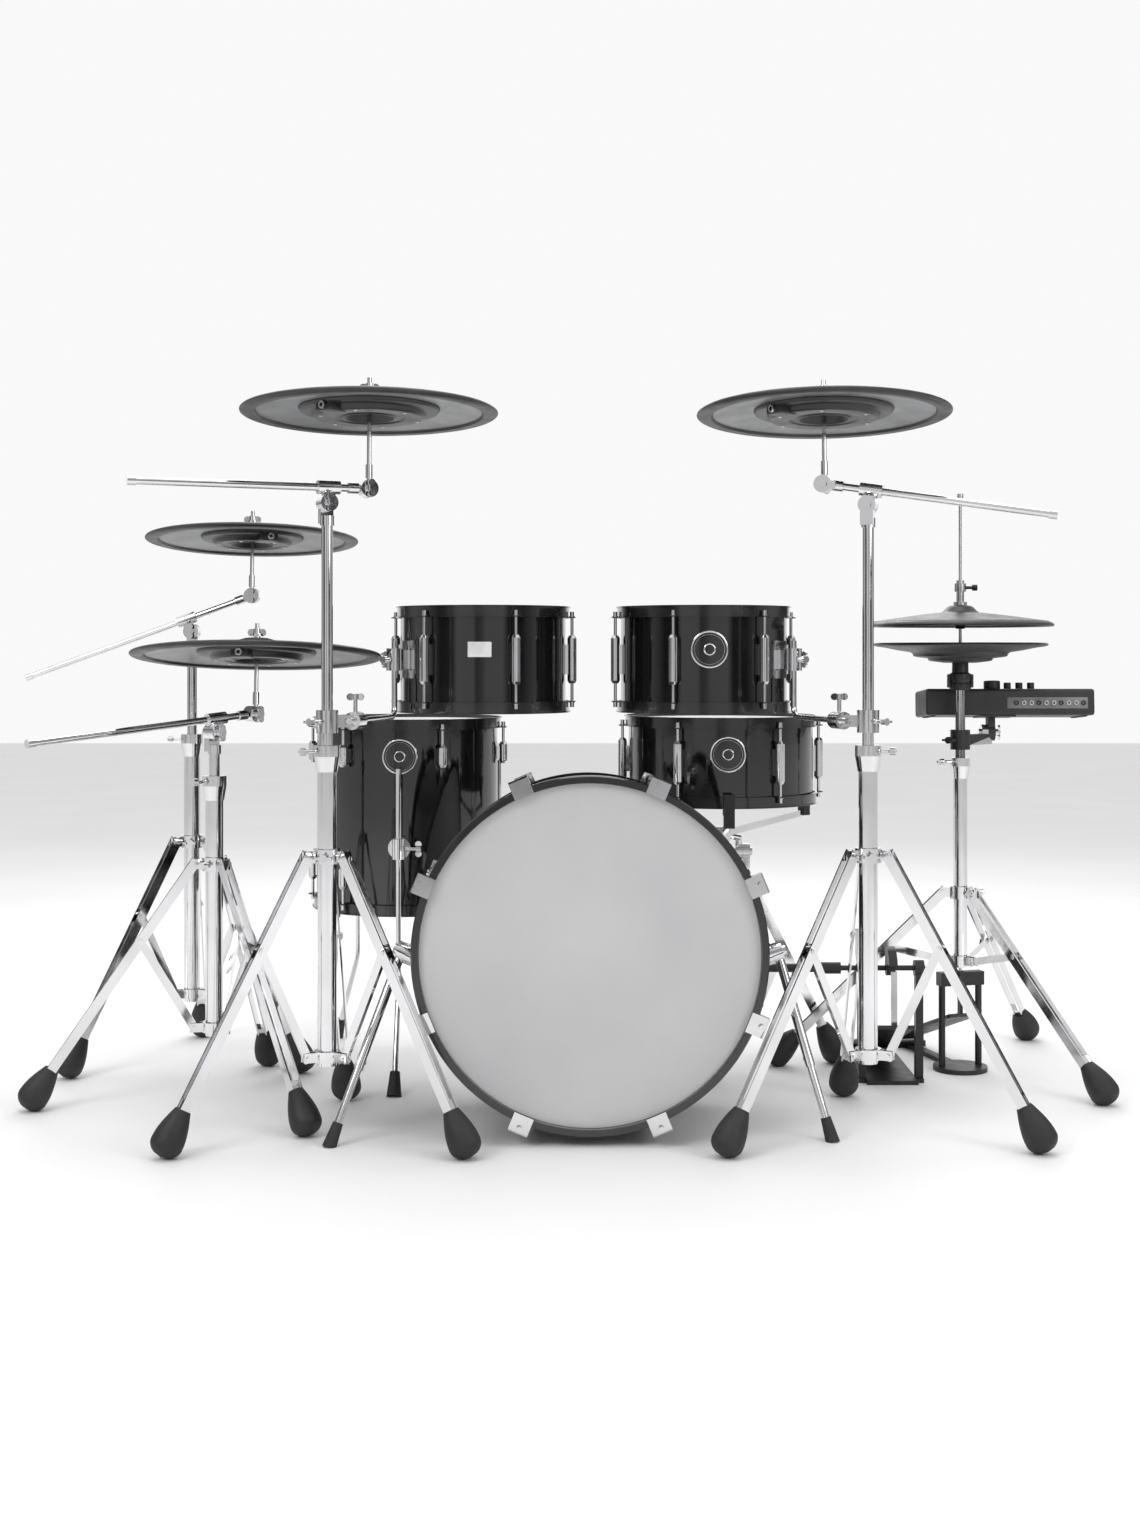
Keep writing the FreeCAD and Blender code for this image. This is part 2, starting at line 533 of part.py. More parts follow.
def tripod(at, collar_z, base_z, reach, directions, tube_radius):
    """Three double-strip legs on a sliding collar, each braced to the bracket at the tube's foot."""
    pieces = []
    ear = tube_radius + 20.0
    collar = pipe(at + UP * (collar_z - 12), at + UP * (collar_z + 12), tube_radius + 7,
                  tube_radius)
    bracket = pipe(at + UP * (base_z - 9), at + UP * (base_z + 9), tube_radius + 6, tube_radius)
    hole = disc(at, UP, tube_radius, base_z - 50, collar_z + 50)
    for angle in directions:
        out = heading(angle)
        side = V(-out.y, out.x, 0)
        shoulder = at + out * ear + UP * collar_z
        low_ear = at + out * ear + UP * base_z
        end = at + out * reach + UP * 20.0
        leg = unit(end - shoulder)
        foot, foot_top = rubber_foot(end, leg)
        nodes["rubber_feet"].append(foot)
        joint = shoulder + leg * (foot_top - shoulder).Length * HINGE_SHARE
        pins = [rod(p - side * 13.0, p + side * 13.0, 3.5) for p in (shoulder, joint)]
        caps = [rod(p + side * 8.0 * s, p + side * 12.0 * s, 6.0)
                for p in (shoulder, joint) for s in (-1, 1)]
        strips = [block(shoulder - leg * 8.0 + side * s, foot_top + side * s,
                        LEG_STRIP_WIDTH, LEG_STRIP_THICKNESS, side)
                  for s in (-LEG_STRIP_SPREAD, LEG_STRIP_SPREAD)]
        plug = block(foot_top - leg * 16.0, foot_top, 14.0, 2 * LEG_STRIP_SPREAD, side)
        pieces.append(fuse(*strips, *pins, *caps, plug))
        brace = block(joint + (joint - low_ear) * 0.04, low_ear - (joint - low_ear) * 0.04,
                      BRACE_WIDTH, BRACE_THICKNESS, side)
        brace = brace.cut(pins[1])
        low_pin = rod(low_ear - side * 11.0, low_ear + side * 11.0, 3.5)
        pieces.append(brace.cut(low_pin).Solids[0])
        tab = block(at + out * (tube_radius + 2) + UP * collar_z, shoulder + out * 7.0, 18.0, 9.0,
                    side)
        collar = collar.fuse(tab.cut(pins[0]))
        cheeks = [block(at + out * (tube_radius + 2) + UP * base_z + side * s,
                        low_ear + out * 7.0 + side * s, 16.0, 3.0, side) for s in (-6.8, 6.8)]
        bracket = bracket.fuse(cheeks + [low_pin])
    pieces.append(collar.cut(hole).removeSplitter().Solids[0])
    pieces.append(bracket.cut(hole).removeSplitter().Solids[0])
    gap = heading(directions[0] + 60)
    pieces.append(wing_bolt(at + UP * collar_z + gap * (tube_radius + 7.2), gap, 24.0, UP))
    return pieces


def knuckle(centre, axis, radius, length, pin_radius):
    """The pierced end of a tilter, on the positive side of its hinge plane."""
    boss = disc(centre, axis, radius, MOVING_GAP, MOVING_GAP + length)
    return boss.cut(disc(centre, axis, pin_radius + RUNNING_FIT, -1, length + 5))


def hinge_bolt(centre, axis, pin_radius, behind, through):
    """The bolt of a tilter with its head behind and its wing nut past the turning half."""
    bolt = disc(centre, axis, pin_radius, -behind - 4, through + 12)
    head = disc(centre, axis, pin_radius + 3.5, -behind - 5, -behind)
    nut = disc(centre, axis, pin_radius + 3.0, through + MOVING_GAP, through + 8)
    tip = centre + unit(axis) * (through + 9)
    return fuse(bolt, head, nut, *wings(tip, UP - unit(axis) * unit(axis).dot(UP), axis, 30.0))


def boom_stand(name, pad_name, at, spec):
    """Tripod, upper tube, boom, cymbal post and pad of one stand."""
    base_top = spec["clamp_z"]
    pieces = tripod(at, spec["collar_z"], spec["base_z"], spec["reach"], spec["legs"],
                    LOWER_TUBE_RADIUS)
    bore = LOWER_TUBE_RADIUS - TUBE_WALL
    pieces.append(pipe(at + UP * (spec["base_z"] - 16), at + UP * base_top, LOWER_TUBE_RADIUS, bore))
    taper = cone(at + UP * (base_top - 22), at + UP * (base_top + 4), LOWER_TUBE_RADIUS + 1.5,
                 LOWER_TUBE_RADIUS + 6)
    ring = fuse(taper, disc(at, UP, LOWER_TUBE_RADIUS + 6, base_top + 4, base_top + 22))
    ring = ring.cut(disc(at, UP, LOWER_TUBE_RADIUS, base_top - 40, base_top))
    ring = ring.cut(disc(at, UP, UPPER_TUBE_RADIUS + RUNNING_FIT, base_top - 40, base_top + 40))
    pieces.append(ring.Solids[0])
    turn = heading(spec["boom"])
    lock = heading(spec["boom"] + 180)
    pieces.append(wing_bolt(at + UP * (base_top + 12) + lock * (LOWER_TUBE_RADIUS + 6.2), lock,
                            24.0, UP))
    nodes[name + "_tripod"] = pieces
    # upper tube and the fixed half of the boom tilter
    pivot = at + UP * spec["pivot_z"]
    hinge = turn.cross(UP)
    tube_top = pivot - UP * 22.0
    tube_low = at + UP * (base_top - 190.0)
    half = 16.0
    seat = fuse(disc(pivot, hinge, 15.0, -half, 0),
                block(pivot - hinge * half / 2 - UP * 34, pivot - hinge * half / 2, 22.0, half,
                      hinge),
                rod(tube_top - UP * 16, tube_top, UPPER_TUBE_RADIUS + 2.6))
    mast_tube = rod(tube_low, tube_top, UPPER_TUBE_RADIUS)
    mast_tube = mast_tube.cut(rod(tube_low, tube_top - UP * 20, UPPER_TUBE_RADIUS - 1.6))
    mast = fuse(mast_tube, seat,
                hinge_bolt(pivot, hinge, PIVOT_PIN_RADIUS, half, half + MOVING_GAP))
    nodes[name + "_mast"] = [mast] + spec.get("clamps", [])
    # boom: turning half of the tilter, rod clamp, rod, fixed half of the cymbal tilter
    slope = math.radians(spec["slope"])
    along = turn * math.cos(slope) + UP * math.sin(slope)
    over = turn * -math.sin(slope) + UP * math.cos(slope)
    hub = knuckle(pivot, hinge, 15.0, half, PIVOT_PIN_RADIUS)
    hub_centre = pivot + hinge * (MOVING_GAP + half / 2)
    hold = hub_centre + over * 25.0
    web = block(hub_centre + over * 9, hold, 20.0, half - 2, hinge)
    clamp = fuse(hub, web, disc(hold, along, 11.5, -19, 19))
    clamp = clamp.cut(disc(hold, along, BOOM_RADIUS, -40, 40))
    clamp = clamp.cut(disc(pivot, hinge, PIVOT_PIN_RADIUS + RUNNING_FIT, -5, 40))
    tail = hold - along * spec["tail"]
    front = hold + along * spec["front"]
    tilt_at = front + along * 18.0
    end_half = 13.0
    boom_end = fuse(disc(front, along, 9.0, -16, 1),
                    block(front - along * 4 - hinge * end_half / 2,
                          tilt_at - hinge * end_half / 2, 14.0, end_half, hinge),
                    disc(tilt_at, hinge, 15.0, -end_half, 0),
                    hinge_bolt(tilt_at, hinge, POST_RADIUS, end_half, end_half + MOVING_GAP))
    boom_rod = fuse(rod(tail, front, BOOM_RADIUS), disc(tail, along, BOOM_RADIUS + 1.5, -6, 8))
    nodes[name + "_boom"] = [clamp.Solids[0], fuse(boom_rod, boom_end)]
    pivots[name + "_boom_tilt"] = (pivot, hinge)
    pivots[name + "_mast_slide"] = (at, UP)
    # cymbal post
    lean = math.radians(spec["lean"])
    post_axis = unit(UP * math.cos(lean) + BACK * math.sin(lean))
    rise = spec["rise"]
    knob = knuckle(tilt_at, hinge, 15.0, end_half, POST_RADIUS)
    root = tilt_at + hinge * (MOVING_GAP + end_half / 2)
    centre = root + post_axis * rise
    seat = SEAT_DROP
    post = fuse(knob, disc(root, post_axis, 6.0, 17, 40),
                disc(root, post_axis, POST_RADIUS, 10, rise + NUT_TOP - 2),
                disc(root, post_axis, POST_TIP_RADIUS, rise + 10, rise + NUT_TOP + POST_FREE),
                disc(centre, post_axis, 17.0, -seat - 4, -seat),
                disc(centre, post_axis, POST_SLEEVE, -seat - 1, 12))
    nut_at = centre + post_axis * 17.0
    nut = fuse(disc(centre, post_axis, 12.0, 8, 12), disc(centre, post_axis, 7.0, 11, NUT_TOP),
               *wings(nut_at - post_axis * 2, RIGHT, BACK, 34.0))
    post = fuse(post, nut)
    post = post.cut(disc(tilt_at, hinge, POST_RADIUS + RUNNING_FIT, -5, 40))
    nodes[name + "_post"] = [post.Solids[0]]
    post_tops[name] = (centre + post_axis * (NUT_TOP + POST_FREE / 2), post_axis)
    pivots[name + "_post_tilt"] = (tilt_at, hinge)
    pad = cymbal_pad(spec["radius"], spec["housing"], spec["depth"])
    pad.Placement = FreeCAD.Placement(centre, FreeCAD.Rotation(UP, post_axis))
    nodes[pad_name] = [pad]
    pivots[pad_name + "_swing"] = (centre, RIGHT)


def cymbal_pad(radius, housing, depth):
    """A rubber-faced pad with a low bell, a rolled edge and a round trigger housing below."""
    edge_drop = radius * 0.10
    under = -0.4 * edge_drop - 13
    pad = turned([(PAD_HOLE, 4.0), (26, 3.0), (46, -7.0), (radius * 0.6, -0.4 * edge_drop - 6),
                  (radius - 7, -edge_drop), (radius - 1, -edge_drop - 3),
                  (radius, -edge_drop - 6.5), (radius - 3, -edge_drop - 10),
                  (radius - 24, -edge_drop - 9), (radius - 27, -edge_drop - 4.5),
                  (radius * 0.6, under), (housing, under + 2), (housing - 2, under - 5),
                  (housing - 24, under - 6), (housing - 26, under - depth),
                  (PAD_HOLE + 34, under - depth), (PAD_HOLE + 22, -8.0), (PAD_HOLE, -4.0)])
    return pad


def snare_stand():
    pieces = tripod(snare_stand_at, 320.0, 120.0, 185.0, (0, 120, 240), 14.0)
    pieces.append(pipe(snare_stand_at + UP * 104, snare_stand_at + UP * 352, 14.0, 12.4))
    pieces.append(disc(snare_stand_at, UP, 19.0, 352, 372).cut(
        disc(snare_stand_at, UP, 9.5, 350, 380)))
    pivot = snare_stand_at + UP * 418.0
    hinge = RIGHT * -1
    half = 14.0
    seat = fuse(rod(snare_stand_at + UP * 200, pivot - UP * 26, 9.5),
                block(pivot - hinge * half / 2 - UP * 40, pivot - hinge * half / 2, 24.0, half,
                      hinge),
                disc(pivot, hinge, 16.0, -half, 0),
                hinge_bolt(pivot, hinge, PIVOT_PIN_RADIUS, half, half + MOVING_GAP))
    pieces.append(seat)
    nodes["snare_stand"] = pieces
    # basket: turning half, stem, centre hub and three arms with rubber grips on the lower hoop
    hub_centre = pivot + hinge * (MOVING_GAP + half / 2)
    bottom = snare_at.z - SNARE_DEPTH / 2 - HOOP_RISE
    centre = V(snare_at.x, snare_at.y, bottom - 62.0)
    hub = knuckle(pivot, hinge, 16.0, half, PIVOT_PIN_RADIUS)
    neck_top = hub_centre + UP * 30.0
    stem = fuse(rod(hub_centre + UP * 11.0, neck_top, 7.0),
                rod(hub_centre + UP * 27.0, centre, 7.0))
    basket = fuse(hub, stem, disc(centre, UP, 19.0, -14, 14))
    rim = snare_radius + HOOP_FLANGE
    for angle in (-90, 30, 150):
        out = heading(angle)
        side = V(-out.y, out.x, 0)
        knee = centre + out * (rim + 14.0) + UP * 34.0
        arm = block(centre + out * 12.0, knee, 12.0, 8.0, side)
        grip = block(knee - UP * 6, V(knee.x, knee.y, bottom + 28.0), 15.0, 20.0, side)
        shelf = block(V(knee.x, knee.y, bottom - 6.0), V(knee.x, knee.y, bottom - 6.0)
                      - out * 26.0, 11.0, 20.0, side)
        basket = basket.fuse([arm, grip, shelf])
    basket = basket.removeSplitter()
    basket = basket.cut(disc(pivot, hinge, PIVOT_PIN_RADIUS + RUNNING_FIT, -1, 40))
    nodes["snare_basket"] = [basket.Solids[0]]
    pivots["snare_basket_tilt"] = (pivot, hinge)


# ------------------------------------------------------------------ pedals
def pedal_base(x, front_y):
    """Base plate from front_y, heel block and two posts with bearing bores for the shaft."""
    heel_y = pedal_y - CAM_RADIUS + PEDAL_REACH
    plate = Part.makeBox(PEDAL_WIDTH + 12, heel_y + 32 - front_y, 8.0,
                         V(x - PEDAL_WIDTH / 2 - 6, front_y, 0))
    heel = Part.makeBox(PEDAL_WIDTH, 44.0, 10.0, V(x - PEDAL_WIDTH / 2, heel_y - 14, 8.0))
    heel = heel.fuse(Part.makeBox(PEDAL_WIDTH, 22.0, 9.0, V(x - PEDAL_WIDTH / 2, heel_y + 8, 17)))
    lugs = [Part.makeBox(8.0, 18.0, 24.0, V(x + s * (PEDAL_WIDTH / 2 - 2) - 4, heel_y - 9, 8.0))
            for s in (-1, 1)]
    bolt = rod(V(x - PEDAL_WIDTH / 2 - 2, heel_y, HEEL_Z), V(x + PEDAL_WIDTH / 2 + 2, heel_y, HEEL_Z),
               3.0)
    well = disc(V(x - PEDAL_WIDTH, heel_y, HEEL_Z), RIGHT, 10.5, 0, 2 * PEDAL_WIDTH)
    heel = heel.cut(well)
    posts = []
    for side in (-1, 1):
        px = x + side * (PEDAL_WIDTH / 2 + 12)
        post = fuse(Part.makeBox(14.0, 20.0, PEDAL_AXIS_Z, V(px - 7, pedal_y - 10, 0)),
                    disc(V(px, pedal_y, PEDAL_AXIS_Z), RIGHT, 15.0, -9, 9))
        foot = Part.makeBox(26.0, 34.0, 8.0, V(px - side * 6 - 13, pedal_y - 17, 0))
        posts.append(fuse(post, foot).cut(disc(V(px, pedal_y, PEDAL_AXIS_Z), RIGHT,
                                              SHAFT_RADIUS + RUNNING_FIT, -30, 30)))
    base = fuse(plate, heel, *lugs, bolt, *posts)
    return base.Solids[0]


def footboard(x):
    heel_y = pedal_y - CAM_RADIUS + PEDAL_REACH
    heel = V(x, heel_y, HEEL_Z)
    toe = V(x, pedal_y - CAM_RADIUS, TOE_Z)
    run = unit(toe - heel)
    board = block(heel + run * 14.0, toe + run * 20.0, PEDAL_WIDTH - 14.0, 7.0, run.cross(RIGHT))
    barrel = disc(heel, RIGHT, 8.0, -PEDAL_WIDTH / 2 + 9, PEDAL_WIDTH / 2 - 9)
    neck = block(heel, heel + run * 18.0, PEDAL_WIDTH - 22.0, 7.0, run.cross(RIGHT))
    chain = block(toe - UP * 2, V(x, toe.y, PEDAL_AXIS_Z), 11.0, 6.0, BACK)
    board = fuse(board, barrel, neck, chain)
    board = board.cut(disc(heel, RIGHT, 3.0 + RUNNING_FIT, -PEDAL_WIDTH, PEDAL_WIDTH))
    return board.Solids[0], heel


def beater(x, shaft_from, shaft_to, cam_x):
    """A beater on its shaft, leaning back at rest, with the chain cam beside it."""
    axis_at = V(x, pedal_y, PEDAL_AXIS_Z)
    strike_y = bass_back - WOOD_HOOP_PROUD + BEATER_RADIUS
    strike = math.asin((pedal_y - strike_y) / BEATER_LENGTH)
    swing = math.radians(PEDAL_TRAVEL) * PEDAL_REACH / CAM_RADIUS
    rest = swing - strike
    lean = V(0, math.sin(rest), math.cos(rest))
    side = V(0, math.cos(rest), -math.sin(rest))
    shaft = rod(V(shaft_from, pedal_y, PEDAL_AXIS_Z), V(shaft_to, pedal_y, PEDAL_AXIS_Z), SHAFT_RADIUS)
    hub = disc(axis_at, RIGHT, 13.0, -9, 9)
    stem = rod(axis_at + lean * 6.0, axis_at + lean * (BEATER_LENGTH + 4), 3.2)
    ball = disc(axis_at + lean * BEATER_LENGTH, RIGHT, BEATER_RADIUS, -17, 17)
    lock = block(axis_at + lean * 8, axis_at + lean * 24, 14.0, 14.0, side)
    cam_centre = V(cam_x, pedal_y, PEDAL_AXIS_Z)
    rim = CAM_RADIUS - 3.0 - MOVING_GAP
    cam = disc(cam_centre, RIGHT, rim, -8, 8)
    keep = block(cam_centre - BACK * rim + UP * (rim + 9), cam_centre + BACK * 12 + UP * (rim + 9),
                 16.0, 2 * rim, UP)
    cam = cam.common(keep)
    cam = fuse(cam, disc(cam_centre, RIGHT, 14.0, -8, 8))
    return fuse(shaft, hub, stem, ball, lock, cam)


def pedals():
    nodes["pedal_frames"] = [pedal_base(BASS_X, bass_back + 6), pedal_base(slave_x, pedal_y - 34)]
    for name, x in (("kick", BASS_X), ("slave", slave_x)):
        board, heel = footboard(x)
        nodes[name + "_footboard"] = [board]
        pivots[name + "_footboard_press"] = (heel, RIGHT)
    frame_half = PEDAL_WIDTH / 2 + 12
    nodes["kick_beater"] = [beater(BASS_X - 24.0, BASS_X - frame_half - 12, BASS_X + 10.0, BASS_X)]
    drive = beater(BASS_X + 22.0, BASS_X + 11.0, slave_x + frame_half + 12, slave_x)
    joints = [disc(V(x, pedal_y, PEDAL_AXIS_Z), RIGHT, 11.0, -20, 20)
              for x in (BASS_X + frame_half + 60, slave_x - frame_half - 60)]
    tube = rod(V(BASS_X + frame_half + 70, pedal_y, PEDAL_AXIS_Z),
               V(slave_x - frame_half - 70, pedal_y, PEDAL_AXIS_Z), 8.0)
    nodes["slave_drive"] = [fuse(drive, tube, *joints)]
    axis_at = V(BASS_X, pedal_y, PEDAL_AXIS_Z)
    pivots["kick_beater_swing"] = (axis_at, RIGHT)
    pivots["slave_drive_turn"] = (V(slave_x, pedal_y, PEDAL_AXIS_Z), RIGHT)


# ------------------------------------------------------------------ hi-hat and module

def hihat():
    at = hihat_at
    toward = heading(106)
    side = V(-toward.y, toward.x, 0)
    pieces = tripod(at, 345.0, 214.0, 358.0, (-56, 56, 174), HIHAT_TUBE)
    pieces.append(pipe(at + UP * 200, at + UP * 585, HIHAT_TUBE, HIHAT_TUBE - TUBE_WALL))
    pieces.append(pipe(at + UP * 560, at + UP * 770, 9.5, 6.5))
    taper = fuse(cone(at + UP * 566, at + UP * 590, HIHAT_TUBE + 1.5, HIHAT_TUBE + 5),
                 disc(at, UP, HIHAT_TUBE + 5, 590, 606))
    taper = taper.cut(disc(at, UP, HIHAT_TUBE, 500, 585)).cut(disc(at, UP, 9.5, 500, 640))
    pieces.append(taper.Solids[0])
    pieces.append(wing_bolt(at + UP * 598 + side * (HIHAT_TUBE + 5.2), side, 26.0, UP))
    # frame: cross head, two posts, oval base plate with heel plate
    head = block(at - side * 46 + UP * 178, at + side * 46 + UP * 178, 22.0, 26.0, UP)
    head = head.cut(disc(at, UP, HIHAT_ROD + 4, 100, 260))
    posts = [rod(at + side * s + UP * 9, at + side * s + UP * 165, 6.5) for s in (-39, 39)]
    oval = disc(at, UP, 52.0, 0, 9)
    keel_start = at + toward * 52.5 + UP * 4.5
    heel = at + toward * HIHAT_REACH + UP * HEEL_Z
    keel = block(keel_start, at + toward * (HIHAT_REACH - 18) + UP * 4.5, 20.0, 9.0, UP)
    oval = oval.fuse(block(at + toward * 40 + UP * 4.5, keel_start, 20.0, 9.0, UP)).removeSplitter()
    rest = block(at + toward * (HIHAT_REACH - 18) + UP * 6, at + toward * (HIHAT_REACH + 52) + UP * 6,
                 74.0, 12.0, UP)
    cheeks = [block(at + toward * (HIHAT_REACH - 9) + side * s + UP * 20,
                    at + toward * (HIHAT_REACH + 9) + side * s + UP * 20, 26.0, 7.0, side)
              for s in (-33.5, 33.5)]
    pin = rod(heel - side * 36, heel + side * 36, 3.0)
    pieces += [head, oval.Solids[0], keel, fuse(rest, *cheeks, pin)] + posts
    # controller under the lower pad, seat cup
    cup_low = 737.0
    controller = fuse(disc(at, UP, 21.0, cup_low, cup_low + 33), disc(at, UP, 16.0, 770, 790))
    controller = controller.cut(disc(at, UP, 9.5, 700, 770)).cut(disc(at, UP, HIHAT_ROD + 2, 760, 800))
    nodes["hihat_stand"] = pieces
    low_pad_z = 812.0
    low_pad = turned([(HIHAT_ROD + 4, 3), (30, 3), (52, 9), (HIHAT_BOTTOM_RADIUS - 6, 17),
                      (HIHAT_BOTTOM_RADIUS, 14), (HIHAT_BOTTOM_RADIUS - 2, 10),
                      (HIHAT_BOTTOM_RADIUS - 22, 7), (92, -2), (88, -10), (62, -13), (58, -18),
                      (26, -22), (HIHAT_ROD + 4, -22)])
    low_pad.translate(at + UP * low_pad_z)
    nodes["hihat_bottom_pad"] = [low_pad, controller.Solids[0]]
    top = turned([(HIHAT_ROD + 3, 10), (14, 14), (24, 12), (34, 0), (HIHAT_TOP_RADIUS * 0.6, -12),
                  (HIHAT_TOP_RADIUS - 4, -21), (HIHAT_TOP_RADIUS, -24),
                  (HIHAT_TOP_RADIUS - 2, -28), (HIHAT_TOP_RADIUS - 22, -28), (60, -17),
                  (30, -12), (HIHAT_ROD + 3, -12)])
    top.translate(at + UP * HIHAT_TOP_Z)
    nodes["hihat_top_pad"] = [top]
    pull = disc(at, UP, HIHAT_ROD, 160, 1112)
    clutch = fuse(disc(at, UP, HIHAT_ROD + 2.8, HIHAT_TOP_Z - 13, HIHAT_TOP_Z + 20),
                  disc(at, UP, 13.0, HIHAT_TOP_Z + 14.2, HIHAT_TOP_Z + 20),
                  disc(at, UP, 7.5, HIHAT_TOP_Z + 20, HIHAT_TOP_Z + 62),
                  disc(at, UP, 11.0, HIHAT_TOP_Z + 40, HIHAT_TOP_Z + 56),
                  disc(at, UP, 11.0, HIHAT_TOP_Z - 16, HIHAT_TOP_Z - 12.2))
    screw = wing_bolt(at + UP * (HIHAT_TOP_Z + 48) + RIGHT * 10.5, RIGHT, 22.0, UP, 3.0, 20.0)
    cap = disc(at, UP, 6.0, 1100, 1118)
    coupling = disc(at, UP, 6.0, 138, 162)
    toe_z = 104.0
    links = block(at + UP * (toe_z + 6), at + UP * 140, 11.0, 6.0, side)
    nodes["hihat_rod"] = [fuse(pull, clutch, screw, cap, coupling, links)]
    toe = at + UP * toe_z
    run = unit(toe - heel)
    normal = run.cross(side)
    board = block(heel + run * 14.0, toe + run * 16.0, 60.0, 7.0, normal)
    board = fuse(board, disc(heel, side, 8.0, -28, 28), block(heel, heel + run * 18, 52.0, 7.0, normal))
    board = board.cut(disc(heel, side, 3.0 + RUNNING_FIT, -80, 80))
    stirrup = block(toe - UP * 2, toe + UP * 5.5, 12.0, 8.0, side)
    nodes["hihat_footboard"] = [fuse(board, stirrup)]
    pivots["hihat_footboard_press"] = (heel, side * -1)
    pivots["hihat_rod_slide"] = (at, UP * -1)
    sound_module(at)


def sound_module(at):
    """Sloped module case on a clamp and arm at the hi-hat tube."""
    tilt_at = V(at.x + 66.0, at.y + 66.0, 652.0)
    arm_root = at + UP * 640.0
    collar = pipe(at + UP * 622, at + UP * 660, 19.0, 9.5)
    arm = block(V(at.x, at.y, 640.0) + unit(V(1, 1, 0)) * 15, V(tilt_at.x, tilt_at.y, 640.0), 24.0,
                20.0, UP)
    ear = disc(tilt_at, RIGHT, 16.0, -12, 0)
    arm = arm.cut(disc(tilt_at, RIGHT, 17.0, 0, 40))
    arm = fuse(collar, arm, ear).cut(disc(at, UP, 9.5, 600, 700))
    bolt = hinge_bolt(tilt_at, RIGHT, PIVOT_PIN_RADIUS, 12.0, 14.0 + MOVING_GAP)
    nodes["hihat_stand"] += [fuse(arm, bolt).Solids[0],
                             wing_bolt(at + UP * 641 - unit(V(1, 1, 0)) * 19.2, V(-1, -1, 0), 24.0, UP)]
    slope = FreeCAD.Rotation(RIGHT, -MODULE_SLOPE)
    case_at = FreeCAD.Placement(tilt_at, slope)
    under = MODULE_TOP - MODULE_HEIGHT
    case = Part.makeBox(MODULE_WIDTH, MODULE_DEPTH, MODULE_HEIGHT, V(-126.0, -40.0, under))
    long_edges = [e for e in case.Edges if abs(e.tangentAt(e.FirstParameter).x) > 0.9]
    case = case.makeFillet(7.0, long_edges)
    corners = [e for e in case.Edges if abs(e.tangentAt(e.FirstParameter).z) > 0.9
               and e.Length > MODULE_HEIGHT / 2]
    case = case.makeFillet(5.0, corners)
    hub = knuckle(V(0, 0, 0), RIGHT, 16.0, 14.0, PIVOT_PIN_RADIUS)
    neck = Part.makeBox(14.0, 24.0, under - 4.0, V(MOVING_GAP, -12.0, 6.0))
    neck = neck.cut(disc(V(0, 0, 0), RIGHT, PIVOT_PIN_RADIUS + RUNNING_FIT, -1, 40))
    foot_plate = Part.makeBox(70.0, 70.0, 3.0, V(-20, -35, under - 3))
    case = fuse(case, hub, neck, foot_plate)
    knobs = [disc(V(x, -12.0, MODULE_TOP), UP, 7.0, 0, 13) for x in (39.0, 62.0, 85.0)]
    dial_at = V(10.0, -6.0, MODULE_TOP)
    boss = disc(dial_at, UP, 3.0, -1, 12)
    nodes["module_case"] = [placed(fuse(case, *knobs, boss), case_at)]
    dial = disc(dial_at, UP, 16.0, 1.0, 17).cut(disc(dial_at, UP, 3.0 + RUNNING_FIT, -2, 12.5))
    nodes["module_dial"] = [placed(dial.makeFillet(2.0, [dial.Edges[0]]), case_at)]
    pivots["module_tilt"] = (tilt_at, RIGHT)
    pivots["module_dial_turn"] = (case_at.multVec(dial_at), slope.multVec(UP))


